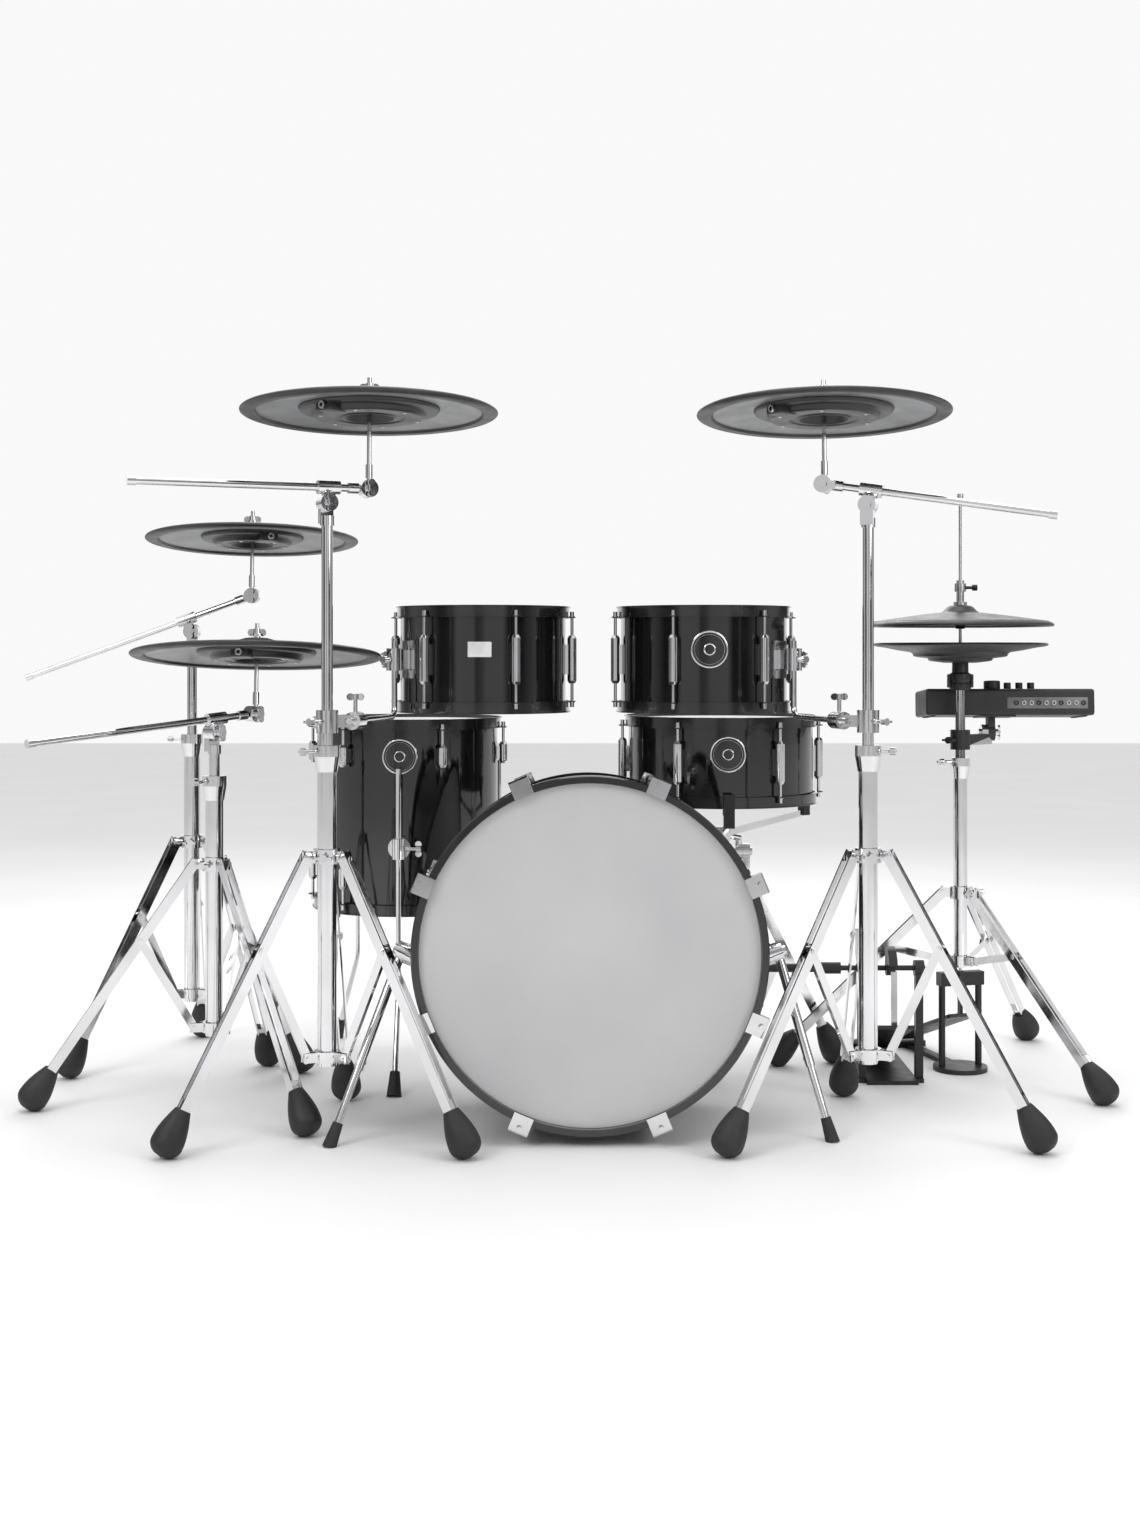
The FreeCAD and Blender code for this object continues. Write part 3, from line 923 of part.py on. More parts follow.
# ------------------------------------------------------------------ the kit
def build():
    nodes["rubber_feet"] = []
    bass_drum()
    clamps_left = tom("tom_left", V(tom_left_x, TOM_Y, tom_z), -1, 53.0, front_left_at)
    clamps_right = tom("tom_right", V(tom_right_x, TOM_Y, tom_z), 1, 67.0, front_right_at)
    upright_drum("snare", snare_at, SNARE_DIAMETER, SNARE_DEPTH, 61.0, 80.0, 0, 16.0)
    upright_drum("floor_tom", floor_tom_at, FLOOR_TOM_DIAMETER, FLOOR_TOM_DEPTH, 55.0, 42.0,
                 FLOOR_TOM_DEPTH / 2 - 62.0, FLOOR_TOM_DEPTH / 2 - 62.0)
    floor_tom_legs()
    clamp_z = arm_z - 62.0
    boom_stand("front_left", "crash_left", front_left_at,
               dict(collar_z=470.0, base_z=137.0, reach=276.0, legs=(209, 330, 90),
                    clamp_z=clamp_z, pivot_z=1059.0, boom=23.5, slope=0.0, tail=327.0, front=50.0,
                    lean=3.0, rise=155.0, radius=CRASH_RADIUS, housing=119.0,
                    depth=16.0, clamps=clamps_left))
    boom_stand("front_right", "crash_right", front_right_at,
               dict(collar_z=470.0, base_z=137.0, reach=290.0, legs=(210.5, 335, 90),
                    clamp_z=clamp_z, pivot_z=1057.0, boom=161.0, slope=9.0, tail=303.0, front=64.0,
                    lean=4.0, rise=148.0, radius=CRASH_RADIUS, housing=119.0,
                    depth=16.0, clamps=clamps_right))
    boom_stand("near_left", "ride", near_left_at,
               dict(collar_z=430.0, base_z=137.0, reach=318.0, legs=(191.5, 309, 81),
                    clamp_z=566.0, pivot_z=665.5, boom=45.0, slope=5.0, tail=370.0, front=64.0,
                    lean=6.0, rise=134.5, radius=RIDE_RADIUS, housing=109.0,
                    depth=16.0))
    boom_stand("far_left", "crash_middle", far_left_at,
               dict(collar_z=437.0, base_z=137.0, reach=256.0, legs=(216, 336, 96),
                    clamp_z=627.0, pivot_z=852.0, boom=0.0, slope=20.0, tail=332.0, front=119.0,
                    lean=5.0, rise=136.0, radius=MIDDLE_RADIUS, housing=101.0,
                    depth=16.0))
    snare_stand()
    pedals()
    hihat()
    return nodes


def write():
    whole = Part.makeCompound([s for solids in nodes.values() for s in solids])
    box = whole.BoundBox
    shift = V(-box.Center.x, -box.Center.y, 0)
    os.makedirs("parts", exist_ok=True)
    for name, solids in sorted(nodes.items()):
        moved = []
        for solid in solids:
            copy = solid.copy()
            copy.translate(shift)
            moved.append(copy)
        shape = moved[0] if len(moved) == 1 else Part.makeCompound(moved)
        shape.exportStep("parts/%s.step" % name)
    return shift


build()
centring = write()
print("nodes", len(nodes), "solids", sum(len(s) for s in nodes.values()))
for pivot_name, (point, direction) in sorted(pivots.items()):
    print(pivot_name, [round(c, 2) for c in (point + centring)], [round(c, 4) for c in direction])
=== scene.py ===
import json
import math

import bmesh
import bpy
from mathutils import Matrix, Vector


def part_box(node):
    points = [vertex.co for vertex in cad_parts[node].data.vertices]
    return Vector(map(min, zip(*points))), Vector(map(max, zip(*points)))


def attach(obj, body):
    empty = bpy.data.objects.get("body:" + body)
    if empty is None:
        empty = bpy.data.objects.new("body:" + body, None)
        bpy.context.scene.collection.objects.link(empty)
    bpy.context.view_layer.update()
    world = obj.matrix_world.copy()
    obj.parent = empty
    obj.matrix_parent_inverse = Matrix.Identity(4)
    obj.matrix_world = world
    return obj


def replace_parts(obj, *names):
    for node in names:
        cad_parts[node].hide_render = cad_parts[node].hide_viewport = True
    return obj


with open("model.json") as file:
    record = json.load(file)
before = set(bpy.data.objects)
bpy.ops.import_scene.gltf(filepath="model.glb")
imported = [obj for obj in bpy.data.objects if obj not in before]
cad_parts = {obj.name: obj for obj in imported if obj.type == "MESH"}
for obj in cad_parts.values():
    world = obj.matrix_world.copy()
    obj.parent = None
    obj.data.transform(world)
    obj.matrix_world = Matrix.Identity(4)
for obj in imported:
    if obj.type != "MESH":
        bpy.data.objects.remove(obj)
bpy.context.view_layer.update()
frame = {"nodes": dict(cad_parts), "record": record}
record = frame["record"]
nodes = frame["nodes"]
MM = 0.001

joints = {j["name"]: j for j in record["behaviour"]["joints"]}
mounts = {m["name"]: m for m in record["mounts"]}


# ------------------------------------------------------------------ materials
def set_range(span, start, end, low, high):
    """Makes a Map Range node turn start..end into low..high."""
    for key, number in (("From Min", start), ("From Max", end), ("To Min", low), ("To Max", high)):
        span.inputs[key].default_value = number


def shades(colour, darker, lighter):
    """The colour scaled by each of the two factors."""
    return tuple(c * darker for c in colour), tuple(c * lighter for c in colour)


class Paint:
    """A node material under construction."""

    def __init__(self, name, color, roughness, metallic=0.0):
        self.material = bpy.data.materials.new(name)
        self.material.use_nodes = True
        self.tree = self.material.node_tree
        self.shader = self.tree.nodes["Principled BSDF"]
        self.shader.inputs["Base Color"].default_value = (*color, 1)
        self.shader.inputs["Roughness"].default_value = roughness
        self.shader.inputs["Metallic"].default_value = metallic
        self.place = self.tree.nodes.new("ShaderNodeTexCoord").outputs["Object"]

    def node(self, kind, **settings):
        made = self.tree.nodes.new(kind)
        for key, value in settings.items():
            setattr(made, key, value)
        return made

    def link(self, a, b):
        self.tree.links.new(a, b)

    def noise(self, scale, detail=4.0, stretch=(1, 1, 1)):
        mapping = self.node("ShaderNodeMapping")
        mapping.inputs["Scale"].default_value = stretch
        self.link(self.place, mapping.inputs["Vector"])
        noise = self.node("ShaderNodeTexNoise")
        noise.inputs["Scale"].default_value = scale
        noise.inputs["Detail"].default_value = detail
        self.link(mapping.outputs["Vector"], noise.inputs["Vector"])
        return noise.outputs["Fac"]

    def ramp(self, value, low, high, start=0.35, end=0.65):
        """Maps value between start and end to low and high, which are numbers or colours."""
        if isinstance(low, (int, float)):
            span = self.node("ShaderNodeMapRange")
            set_range(span, start, end, low, high)
            self.link(value, span.inputs["Value"])
            return span.outputs["Result"]
        ramp = self.node("ShaderNodeValToRGB")
        ramp.color_ramp.elements[0].position = start
        ramp.color_ramp.elements[0].color = (*low, 1)
        ramp.color_ramp.elements[1].position = end
        ramp.color_ramp.elements[1].color = (*high, 1)
        self.link(value, ramp.inputs["Fac"])
        return ramp.outputs["Color"]

    def colour(self, socket):
        self.link(socket, self.shader.inputs["Base Color"])

    def rough(self, socket):
        self.link(socket, self.shader.inputs["Roughness"])

    def bump(self, height, strength, distance):
        bump = self.node("ShaderNodeBump")
        bump.inputs["Strength"].default_value = strength
        bump.inputs["Distance"].default_value = distance
        self.link(height, bump.inputs["Height"])
        previous = self.shader.inputs["Normal"].links
        if previous:
            self.link(previous[0].from_socket, bump.inputs["Normal"])
        self.link(bump.outputs["Normal"], self.shader.inputs["Normal"])

    def set(self, **values):
        for key, value in values.items():
            self.shader.inputs[key.replace("_", " ")].default_value = value
        return self


def chrome(name, base=0.78, rough=0.07):
    paint = Paint(name, (base, base, base * 1.015), rough, 1.0)
    smear = paint.noise(22, 5)
    paint.rough(paint.ramp(smear, rough * 0.7, rough * 2.0))
    paint.colour(paint.ramp(paint.noise(9, 3), (base * 0.90,) * 3, (base, base, base * 1.02)))
    paint.bump(paint.noise(900, 2), 0.05, 0.0002)
    return paint.material


def lacquer(name, colour, rough):
    paint = Paint(name, colour, rough)
    paint.rough(paint.ramp(paint.noise(14, 5), rough * 0.7, rough * 1.8))
    paint.colour(paint.ramp(paint.noise(5, 4), *shades(colour, 0.8, 1.3)))
    paint.bump(paint.noise(60, 2), 0.04, 0.0006)
    paint.set(Coat_Weight=0.6, Coat_Roughness=0.03, Specular_IOR_Level=0.55)
    return paint.material


def rubber(name, colour, rough, grain=700.0, bump=0.25):
    paint = Paint(name, colour, rough)
    paint.rough(paint.ramp(paint.noise(30, 5), rough * 0.88, min(1.0, rough * 1.12)))
    paint.colour(paint.ramp(paint.noise(11, 5), *shades(colour, 0.75, 1.35)))
    paint.bump(paint.noise(grain, 3), bump, 0.0004)
    return paint.material


def film(name):
    """Coated white film with a faint mottling."""
    paint = Paint(name, (0.54, 0.54, 0.54), 0.42)
    paint.colour(paint.ramp(paint.noise(4.5, 5), (0.49, 0.49, 0.50), (0.55, 0.55, 0.55), 0.3, 0.7))
    paint.rough(paint.ramp(paint.noise(40, 4), 0.36, 0.5))
    paint.bump(paint.noise(650, 3), 0.12, 0.0003)
    return paint.material


def mesh_cloth(name):
    """Fine two-ply woven mesh."""
    paint = Paint(name, (0.7, 0.7, 0.69), 0.7)
    weave = []
    for direction in ("X", "Y"):
        wave = paint.node("ShaderNodeTexWave", bands_direction=direction)
        wave.inputs["Scale"].default_value = 260.0
        paint.link(paint.place, wave.inputs["Vector"])
        weave.append(wave.outputs["Fac"])
    both = paint.node("ShaderNodeMath", operation="MAXIMUM")
    paint.link(weave[0], both.inputs[0])
    paint.link(weave[1], both.inputs[1])
    paint.colour(paint.ramp(both.outputs["Value"], (0.34, 0.34, 0.34), (0.74, 0.74, 0.73), 0.4, 0.9))
    paint.bump(both.outputs["Value"], 0.5, 0.0003)
    return paint.material


CHROME = chrome("chrome_plate")
STEEL = chrome("plated_steel", 0.55, 0.22)
SHELL = lacquer("black_lacquer", (0.006, 0.006, 0.007), 0.07)
HOOP = lacquer("black_hoop_paint", (0.010, 0.010, 0.011), 0.14)
FILM = film("white_film")
MESH = mesh_cloth("woven_mesh")
FEET = rubber("foot_rubber", (0.018, 0.018, 0.019), 0.6, 420.0)
PAD = rubber("pad_rubber", (0.022, 0.022, 0.024), 0.42, 900.0, 0.18)
UNDER = rubber("underside_plastic", (0.17, 0.175, 0.18), 0.34, 1200.0, 0.12)
HOUSING = rubber("housing_plastic", (0.016, 0.016, 0.018), 0.38, 1400.0, 0.2)
MODULE = rubber("module_plastic", (0.018, 0.018, 0.02), 0.5, 1600.0, 0.25)
PEDAL = rubber("powder_coat", (0.014, 0.014, 0.015), 0.42, 1300.0, 0.3)
BADGE = lacquer("badge_enamel", (0.010, 0.010, 0.012), 0.16)
FELT = rubber("beater_felt", (0.30, 0.29, 0.27), 0.92, 260.0, 0.6)
BLACK_PART = rubber("moulded_plastic", (0.014, 0.014, 0.015), 0.36, 1500.0, 0.15)
SCREEN = lacquer("display_glass", (0.012, 0.016, 0.020), 0.06)
KEY = rubber("button_grey", (0.16, 0.165, 0.17), 0.5, 1500.0, 0.1)
LABEL = rubber("label_silver", (0.62, 0.62, 0.62), 0.4, 900.0, 0.08)

SLOT_PAINT = {"shell_lacquer": SHELL, "white_head": FILM, "mesh_head": MESH, "black_hoop": HOOP,
              "rubber": FEET, "pad_rubber": PAD, "module_plastic": MODULE, "pedal_black": PEDAL,
              "steel": STEEL, "chrome": CHROME}
node_slot = {entry["node"]: entry["material_slot"] for entry in record["subparts"]}
for node_name, node_object in nodes.items():
    node_object.data.materials.clear()
    node_object.data.materials.append(SLOT_PAINT[node_slot[node_name]])


# ------------------------------------------------------------------ meshes
def shade(obj, angle=35.0):
    for polygon in obj.data.polygons:
        polygon.use_smooth = True
    obj.data.set_sharp_from_angle(angle=math.radians(angle))


def add(name, mesh, material, body, at=None):
    obj = bpy.data.objects.new(name, mesh)
    bpy.context.scene.collection.objects.link(obj)
    mesh.materials.append(material)
    if at is not None:
        mesh.transform(at)
    shade(obj)
    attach(obj, body)
    return obj


def lathe(profile, segments=128, start=0.0, turn=360.0):
    """A mesh turned about Z from (radius, height) points in millimetres, closed along the profile."""
    mesh = bpy.data.meshes.new("lathe")
    shape = bmesh.new()
    whole = turn >= 360.0
    columns = segments if whole else segments + 1
    rings = []
    for i in range(columns):
        a = math.radians(start + turn * i / segments)
        rings.append([shape.verts.new((r * MM * math.cos(a), r * MM * math.sin(a), z * MM))
                      for r, z in profile])
    count = len(profile)
    for i in range(segments):
        here, there = rings[i], rings[(i + 1) % columns]
        for k in range(count):
            shape.faces.new((here[k], there[k], there[(k + 1) % count], here[(k + 1) % count]))
    if not whole:
        shape.faces.new(rings[0])
        shape.faces.new(list(reversed(rings[-1])))
    bmesh.ops.recalc_face_normals(shape, faces=shape.faces)
    shape.to_mesh(mesh)
    shape.free()
    return mesh


def rounded(points, radius, steps=4):
    """The outline with every corner replaced by a small arc."""
    out = []
    count = len(points)
    for i in range(count):
        before, corner, after = (Vector(points[i - 1]), Vector(points[i]),
                                 Vector(points[(i + 1) % count]))
        reach = min(radius, (before - corner).length * 0.45, (after - corner).length * 0.45)
        first = corner + (before - corner).normalized() * reach
        last = corner + (after - corner).normalized() * reach
        for k in range(steps + 1):
            t = k / steps
            out.append(tuple(first * (1 - t) ** 2 + corner * 2 * t * (1 - t) + last * t ** 2))
    return out


def slab(size, bevel, segments=3):
    """A bevelled block about the origin, size in millimetres."""
    mesh = bpy.data.meshes.new("slab")
    shape = bmesh.new()
    bmesh.ops.create_cube(shape, size=1.0)
    bmesh.ops.scale(shape, vec=[s * MM for s in size], verts=shape.verts)
    bmesh.ops.bevel(shape, geom=shape.edges[:], offset=bevel * MM, segments=segments, affect="EDGES",
                    profile=0.5)
    shape.to_mesh(mesh)
    shape.free()
    return mesh


def frame_at(point, axis, turn=0.0):
    """A placement whose Z is the axis, turned about it in degrees."""
    axis = Vector(axis).normalized()
    across = Vector((1, 0, 0)) - axis * axis.x
    across.normalize()
    side = axis.cross(across)
    basis = Matrix((across, side, axis)).transposed().to_4x4()
    return Matrix.Translation(Vector(point)) @ basis @ Matrix.Rotation(math.radians(turn), 4, "Z")


def repaint(node_name, material, inside):
    """Gives another finish to the faces of a CAD node whose centre passes the test."""
    obj = nodes[node_name]
    obj.data.materials.append(material)
    index = len(obj.data.materials) - 1
    for polygon in obj.data.polygons:
        if inside(obj.matrix_world @ polygon.center):
            polygon.material_index = index


def middle_of(node_name):
    low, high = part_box(node_name)
    return (Vector(low) + Vector(high)) / 2


# ------------------------------------------------------------------ badges
BADGE_PLATE = 1.6       # thickness of a badge on its shell, in millimetres
BADGE_REACH = 0.036     # a little more than a badge's radius, in metres


def curved_ring(name, centre, drum, ring, width, proud, material, body):
    """A flat ring bent round a shell, at the front of the drum. Sizes in millimetres."""
    foot = 0.2
    crown = proud + 0.3
    section = ((ring, foot), (ring, proud), (ring - width * 0.3, crown), (ring - width * 0.7, crown),
               (ring - width, proud), (ring - width, foot))
    mesh = bpy.data.meshes.new(name)
    shape = bmesh.new()
    rows = []
    columns = 72
    for i in range(columns):
        a = 2 * math.pi * i / columns
        row = []
        for reach, out in section:
            turn = reach * math.cos(a) / drum
            skin = drum + BADGE_PLATE + out
            row.append(shape.verts.new((skin * math.sin(turn) * MM, -skin * math.cos(turn) * MM,
                                        reach * math.sin(a) * MM)))
        rows.append(row)
    count = len(section)
    for i in range(columns):
        here, there = rows[i], rows[(i + 1) % columns]
        for k in range(count):
            after = (k + 1) % count
            shape.faces.new((here[k], there[k], there[after], here[after]))
    bmesh.ops.recalc_face_normals(shape, faces=shape.faces)
    shape.to_mesh(mesh)
    shape.free()
    return add(name, mesh, material, body, Matrix.Translation(centre))


def badge(drum_name, height, body, plain):
    """A round badge of black enamel with a bright border and rings, or a plain silver label."""
    centre = middle_of(drum_name + "_shell")
    low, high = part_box(drum_name + "_shell")
    radius = (high[0] - low[0]) / 2
    spot = centre + Vector((0, 0, height * MM))
    front = centre.y - radius * 0.9

    def on_badge(point):
        return point.y < front and math.hypot(point.x - spot.x, point.z - spot.z) < BADGE_REACH

    repaint(drum_name + "_lugs", LABEL if plain else BADGE, on_badge)
    if not plain:
        drum = radius / MM
        curved_ring(drum_name + "_badge_rim", spot, drum, 33.0, 2.6, 0.5, CHROME, body)
        curved_ring(drum_name + "_badge_ring", spot, drum, 10.5, 2.0, 0.7, CHROME, body)
        curved_ring(drum_name + "_badge_line", spot, drum, 27.0, 0.7, 0.1, STEEL, body)


floor_tom_low, floor_tom_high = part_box("floor_tom_shell")
FLOOR_TOM_BADGE_DROP = 62.0     # from the top of the shell, in millimetres
badge("tom_left", 18.0, "tom_left", True)
badge("tom_right", 18.0, "tom_right", False)
badge("snare", 16.0, "snare", False)
badge("floor_tom", (floor_tom_high[2] - floor_tom_low[2]) / 2 / MM - FLOOR_TOM_BADGE_DROP, "kit", False)

# ------------------------------------------------------------------ second finishes, in metres
PLATE_FRAME_TOP = 0.192         # the pedal frame of the hi-hat stands below this
PLATE_FRAME_RADIUS = 0.075
PLATE_FRAME_LENGTH = 0.31
PLATE_FRAME_HALF_WIDTH = 0.05
HIHAT_COLLAR = (0.615, 0.675)   # plastic collar where the upper tube enters the lower one
HIHAT_COLLAR_RADIUS = 0.062
CLUTCH_SCREW = (0.91, 0.96)     # height of the clutch's plastic wing screw
CLUTCH_RADIUS = 0.011
CHAIN_TOP = 0.163
SPUR_TIP_TOP = 0.042
BASKET_GRIP_RADIUS = 0.172
BEATER_BOTTOM = 0.345
DRIVE_TOP = 0.26
BOARD_STRAP_BOTTOM = 0.118

hat = middle_of("hihat_top_pad")
heel = Vector(joints["hihat_footboard_press"]["pos_m"])
toward = Vector((heel.x - hat.x, heel.y - hat.y, 0)).normalized()


def flat_distance(point, centre):
    return math.hypot(point.x - centre.x, point.y - centre.y)


def hihat_frame(point):
    away = Vector((point.x - hat.x, point.y - hat.y, 0))
    along = away.dot(toward)
    beside = (away - toward * along).length
    on_board = 0 < along < PLATE_FRAME_LENGTH and beside < PLATE_FRAME_HALF_WIDTH
    return point.z < PLATE_FRAME_TOP and (away.length < PLATE_FRAME_RADIUS or on_board)


def hihat_collar(point):
    low, high = HIHAT_COLLAR
    return low < point.z < high and flat_distance(point, hat) < HIHAT_COLLAR_RADIUS


def clutch_screw(point):
    low, high = CLUTCH_SCREW
    return point.x > hat.x + CLUTCH_RADIUS and low < point.z < high


repaint("hihat_stand", PEDAL, hihat_frame)
repaint("hihat_stand", BLACK_PART, hihat_collar)
repaint("hihat_rod", BLACK_PART, clutch_screw)
repaint("hihat_rod", PEDAL, lambda q: q.z < CHAIN_TOP)
repaint("hihat_footboard", PEDAL, lambda q: True)
for spur in ("bass_spur_left", "bass_spur_right"):
    repaint(spur, FEET, lambda q: q.z < SPUR_TIP_TOP)
snare_axis = middle_of("snare_shell")
repaint("snare_basket", FEET, lambda q: flat_distance(q, snare_axis) > BASKET_GRIP_RADIUS)
repaint("kick_beater", FELT, lambda q: q.z > BEATER_BOTTOM)
repaint("slave_drive", PEDAL, lambda q: q.z <= DRIVE_TOP)
repaint("slave_drive", FELT, lambda q: q.z > BEATER_BOTTOM)
for board in ("kick_footboard", "slave_footboard"):
    repaint(board, STEEL, lambda q: q.z > BOARD_STRAP_BOTTOM)


# ------------------------------------------------------------------ pads, in millimetres
RIM = 14.0              # width of the rolled rim
PAD_SLOPE = 0.10        # fall of the pad from its bell to its edge, as a share of the radius
BELL = 48.0             # radius of the bell's foot
HOUSING_SCREWS = 6


def cymbal(name, radius, housing, box_turns):
    """Rubber top with a rolled rim, grey underside plate, stepped housing and jack boxes."""
    place = frame_at(joints[name + "_swing"]["pos_m"], mounts[name + "_post_top"]["axis"])
    drop = radius * PAD_SLOPE
    middle = radius * 0.6
    top = [(8, 4), (14, 4.5), (24, 3.6), (34, 0.5), (42, -4.5), (BELL, -7)]
    top += [(BELL + (middle - BELL) * t, -7 + (-0.4 * drop + 1) * t) for t in (0.25, 0.5, 0.75, 1.0)]
    ridge = radius - 34
    top += [(ridge - 1, -drop + 2.2), (ridge, -drop + 1.2), (ridge + 1.4, -drop + 2.0),
            (radius - RIM, -drop + 0.6)]
    rim = [(radius - RIM + RIM * math.sin(a), -drop - 5.0 + 5.6 * math.cos(a))
           for a in (math.radians(d) for d in range(15, 180, 15))]
    inner = [(radius - RIM, -drop - 10.4), (radius - 24, -drop - 9.6), (radius - 27, -drop - 6.0),
             (radius - 27.5, -drop - 3.4), (middle, -0.4 * drop - 9.5), (60, -11.0), (8, -4)]
    pieces = [add(name + "_top", lathe(top + rim + inner, 160), PAD, name, place)]
    under = -0.4 * drop - 13
    plate = [(housing - 4, under + 5), (radius - 27.6, -drop - 2.6), (radius - 27.6, -drop - 5.4),
             (radius - 36, -drop - 5.0), (middle + 4, under + 2.2), (housing - 4, under + 2.0)]
    pieces.append(add(name + "_plate", lathe(plate, 160), UNDER, name, place))
    low = under - 15.5
    steps = rounded([(28, -9), (housing - 2, under + 6), (housing, under + 1), (housing - 3, under - 4.5),
                     (housing - 23, under - 6), (housing - 25.5, under - 12), (housing - 29, low),
                     (60, low), (57, low + 2.5), (48, low + 2.5), (45, low), (42, low), (30, -10)], 2.0, 3)
    pieces.append(add(name + "_housing", lathe(steps, 128), HOUSING, name, place))
    for index, turn in enumerate(box_turns):
        spin = Matrix.Rotation(math.radians(turn), 4, "Z")
        out = Matrix.Translation(Vector((housing - 24, 0, under - 9)) * MM)
        block = slab((40, 34, 17), 3.0)
        pieces.append(add("%s_jack_%d" % (name, index), block, HOUSING, name,
                          place @ spin @ out))
        jack = lathe(rounded([(3.2, 0), (6.5, 0), (6.5, 5), (3.2, 5)], 0.6), 32)
        face = Matrix.Translation(Vector((housing - 4, 0, under - 9)) * MM) @ Matrix.Rotation(
            math.radians(90), 4, "Y")
        pieces.append(add("%s_socket_%d" % (name, index), jack, STEEL, name, place @ spin @ face))
    circle = housing - 36
    for index in range(HOUSING_SCREWS):
        turn = math.radians(360 / HOUSING_SCREWS * index + 20)
        screw = lathe(rounded([(0.01, 0), (3.4, 0), (3.0, -1.6), (0.01, -1.8)], 0.4), 24)
        spot = Vector((circle * math.cos(turn), circle * math.sin(turn), low)) * MM
        pieces.append(add("%s_screw_%d" % (name, index), screw, STEEL, name,
                          place @ Matrix.Translation(spot)))
    for piece in pieces:
        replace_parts(piece, name)


cymbal("crash_left", 216, 119, (235,))
cymbal("crash_right", 216, 119, (215,))
cymbal("crash_middle", 208, 101, (300,))
cymbal("ride", 228.6, 109, (262,))


def hihat_pads():
    """Upper pad with its bell and rolled rim, lower pad with its trigger hub and controller."""
    top_low, top_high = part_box("hihat_top_pad")
    reach = (top_high[0] - top_low[0]) / 2 / MM
    face = Vector((hat.x, hat.y, top_high[2] - 0.014))
    upper = [(6, 10), (9, 13), (14, 13.6), (20, 12.8), (25, 10.0), (31, 3.5), (36, -0.2)]
    upper += [(36 + (reach - 48) * t, -0.2 - 17.2 * t ** 1.15) for t in (0.2, 0.4, 0.6, 0.8, 1.0)]
    upper += [(reach - 11, -17.2), (reach - 9.6, -18.4), (reach - 8, -18.6), (reach - 4, -20.6),
              (reach - 1, -22.6), (reach, -24.4), (reach - 1, -26.8), (reach - 4, -28.0)]
    upper += [(reach - 20, -27.4), (reach - 23, -24.6), (reach - 60, -20.0), (62, -17.2), (56, -19.0),
              (44, -19.0), (40, -15.0), (30, -12.4), (6, -12)]
    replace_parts(add("hihat_upper", lathe(upper, 160), PAD, "hihat_pull",
                    Matrix.Translation(face)), "hihat_top_pad")
    nut = rounded([(5, -11), (8, -11), (8, -14), (11, -15.5), (11, -28), (8, -32), (5, -32)], 1.0, 3)
    add("hihat_nut", lathe(nut, 48), BLACK_PART, "hihat_pull", Matrix.Translation(face))
    low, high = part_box("hihat_bottom_pad")
    base = (high[0] - low[0]) / 2 / MM
    seat = Vector((hat.x, hat.y, high[2] - 0.017))
    lower = [(7, 3), (28, 3.4), (34, 4.6), (52, 9.2), (96, 12.6), (base - 20, 15.4), (base - 8, 16.8),
             (base - 3, 16.4), (base, 14.2), (base - 1, 11.6), (base - 6, 9.8), (base - 22, 7.6),
             (120, 2.4), (95, -1.6), (91, -4.6), (89.5, -9.0), (84, -10.6), (63, -13.2), (60, -17.6),
             (54, -19.0), (30, -22), (7, -22)]
    hub = [add("hihat_lower", lathe(lower, 160), PAD, "kit", Matrix.Translation(seat))]
    drop = (low[2] - seat.z) / MM
    can = rounded([(10, drop + 0.5), (20.6, drop), (20.6, drop + 12), (19.2, drop + 13.5),
                   (19.2, drop + 18), (20.6, drop + 19.5), (20.6, drop + 32), (16, drop + 34),
                   (15.6, -21), (10, -21)], 1.0, 3)
    hub.append(add("hihat_sensor", lathe(can, 64), BLACK_PART, "kit",
                   Matrix.Translation(seat)))
    for side in (-1, 1):
        ear = slab((6, 12, 26), 1.8)
        spot = Matrix.Translation(seat + Vector((side * 22.0, 0, drop + 18)) * MM)
        hub.append(add("hihat_ear_%d" % side, ear, BLACK_PART, "kit", spot))
    for piece in hub:
        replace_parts(piece, "hihat_bottom_pad")


hihat_pads()


# ------------------------------------------------------------------ module, in millimetres
MODULE_LEAN = -4.0      # degrees
MODULE_BACK = -40.0     # from the module's hinge to its back face
MODULE_TOP = 85.0
JACKS = 10
JACK_PITCH = 14.6
JACK_HEIGHT = 57.0
JACKS_START = 176.0
KEY_ROWS = 3
KEY_COLUMNS = 7
SOFT_KEYS = 5
SCREEN_SPOT = (66.0, 46.0)


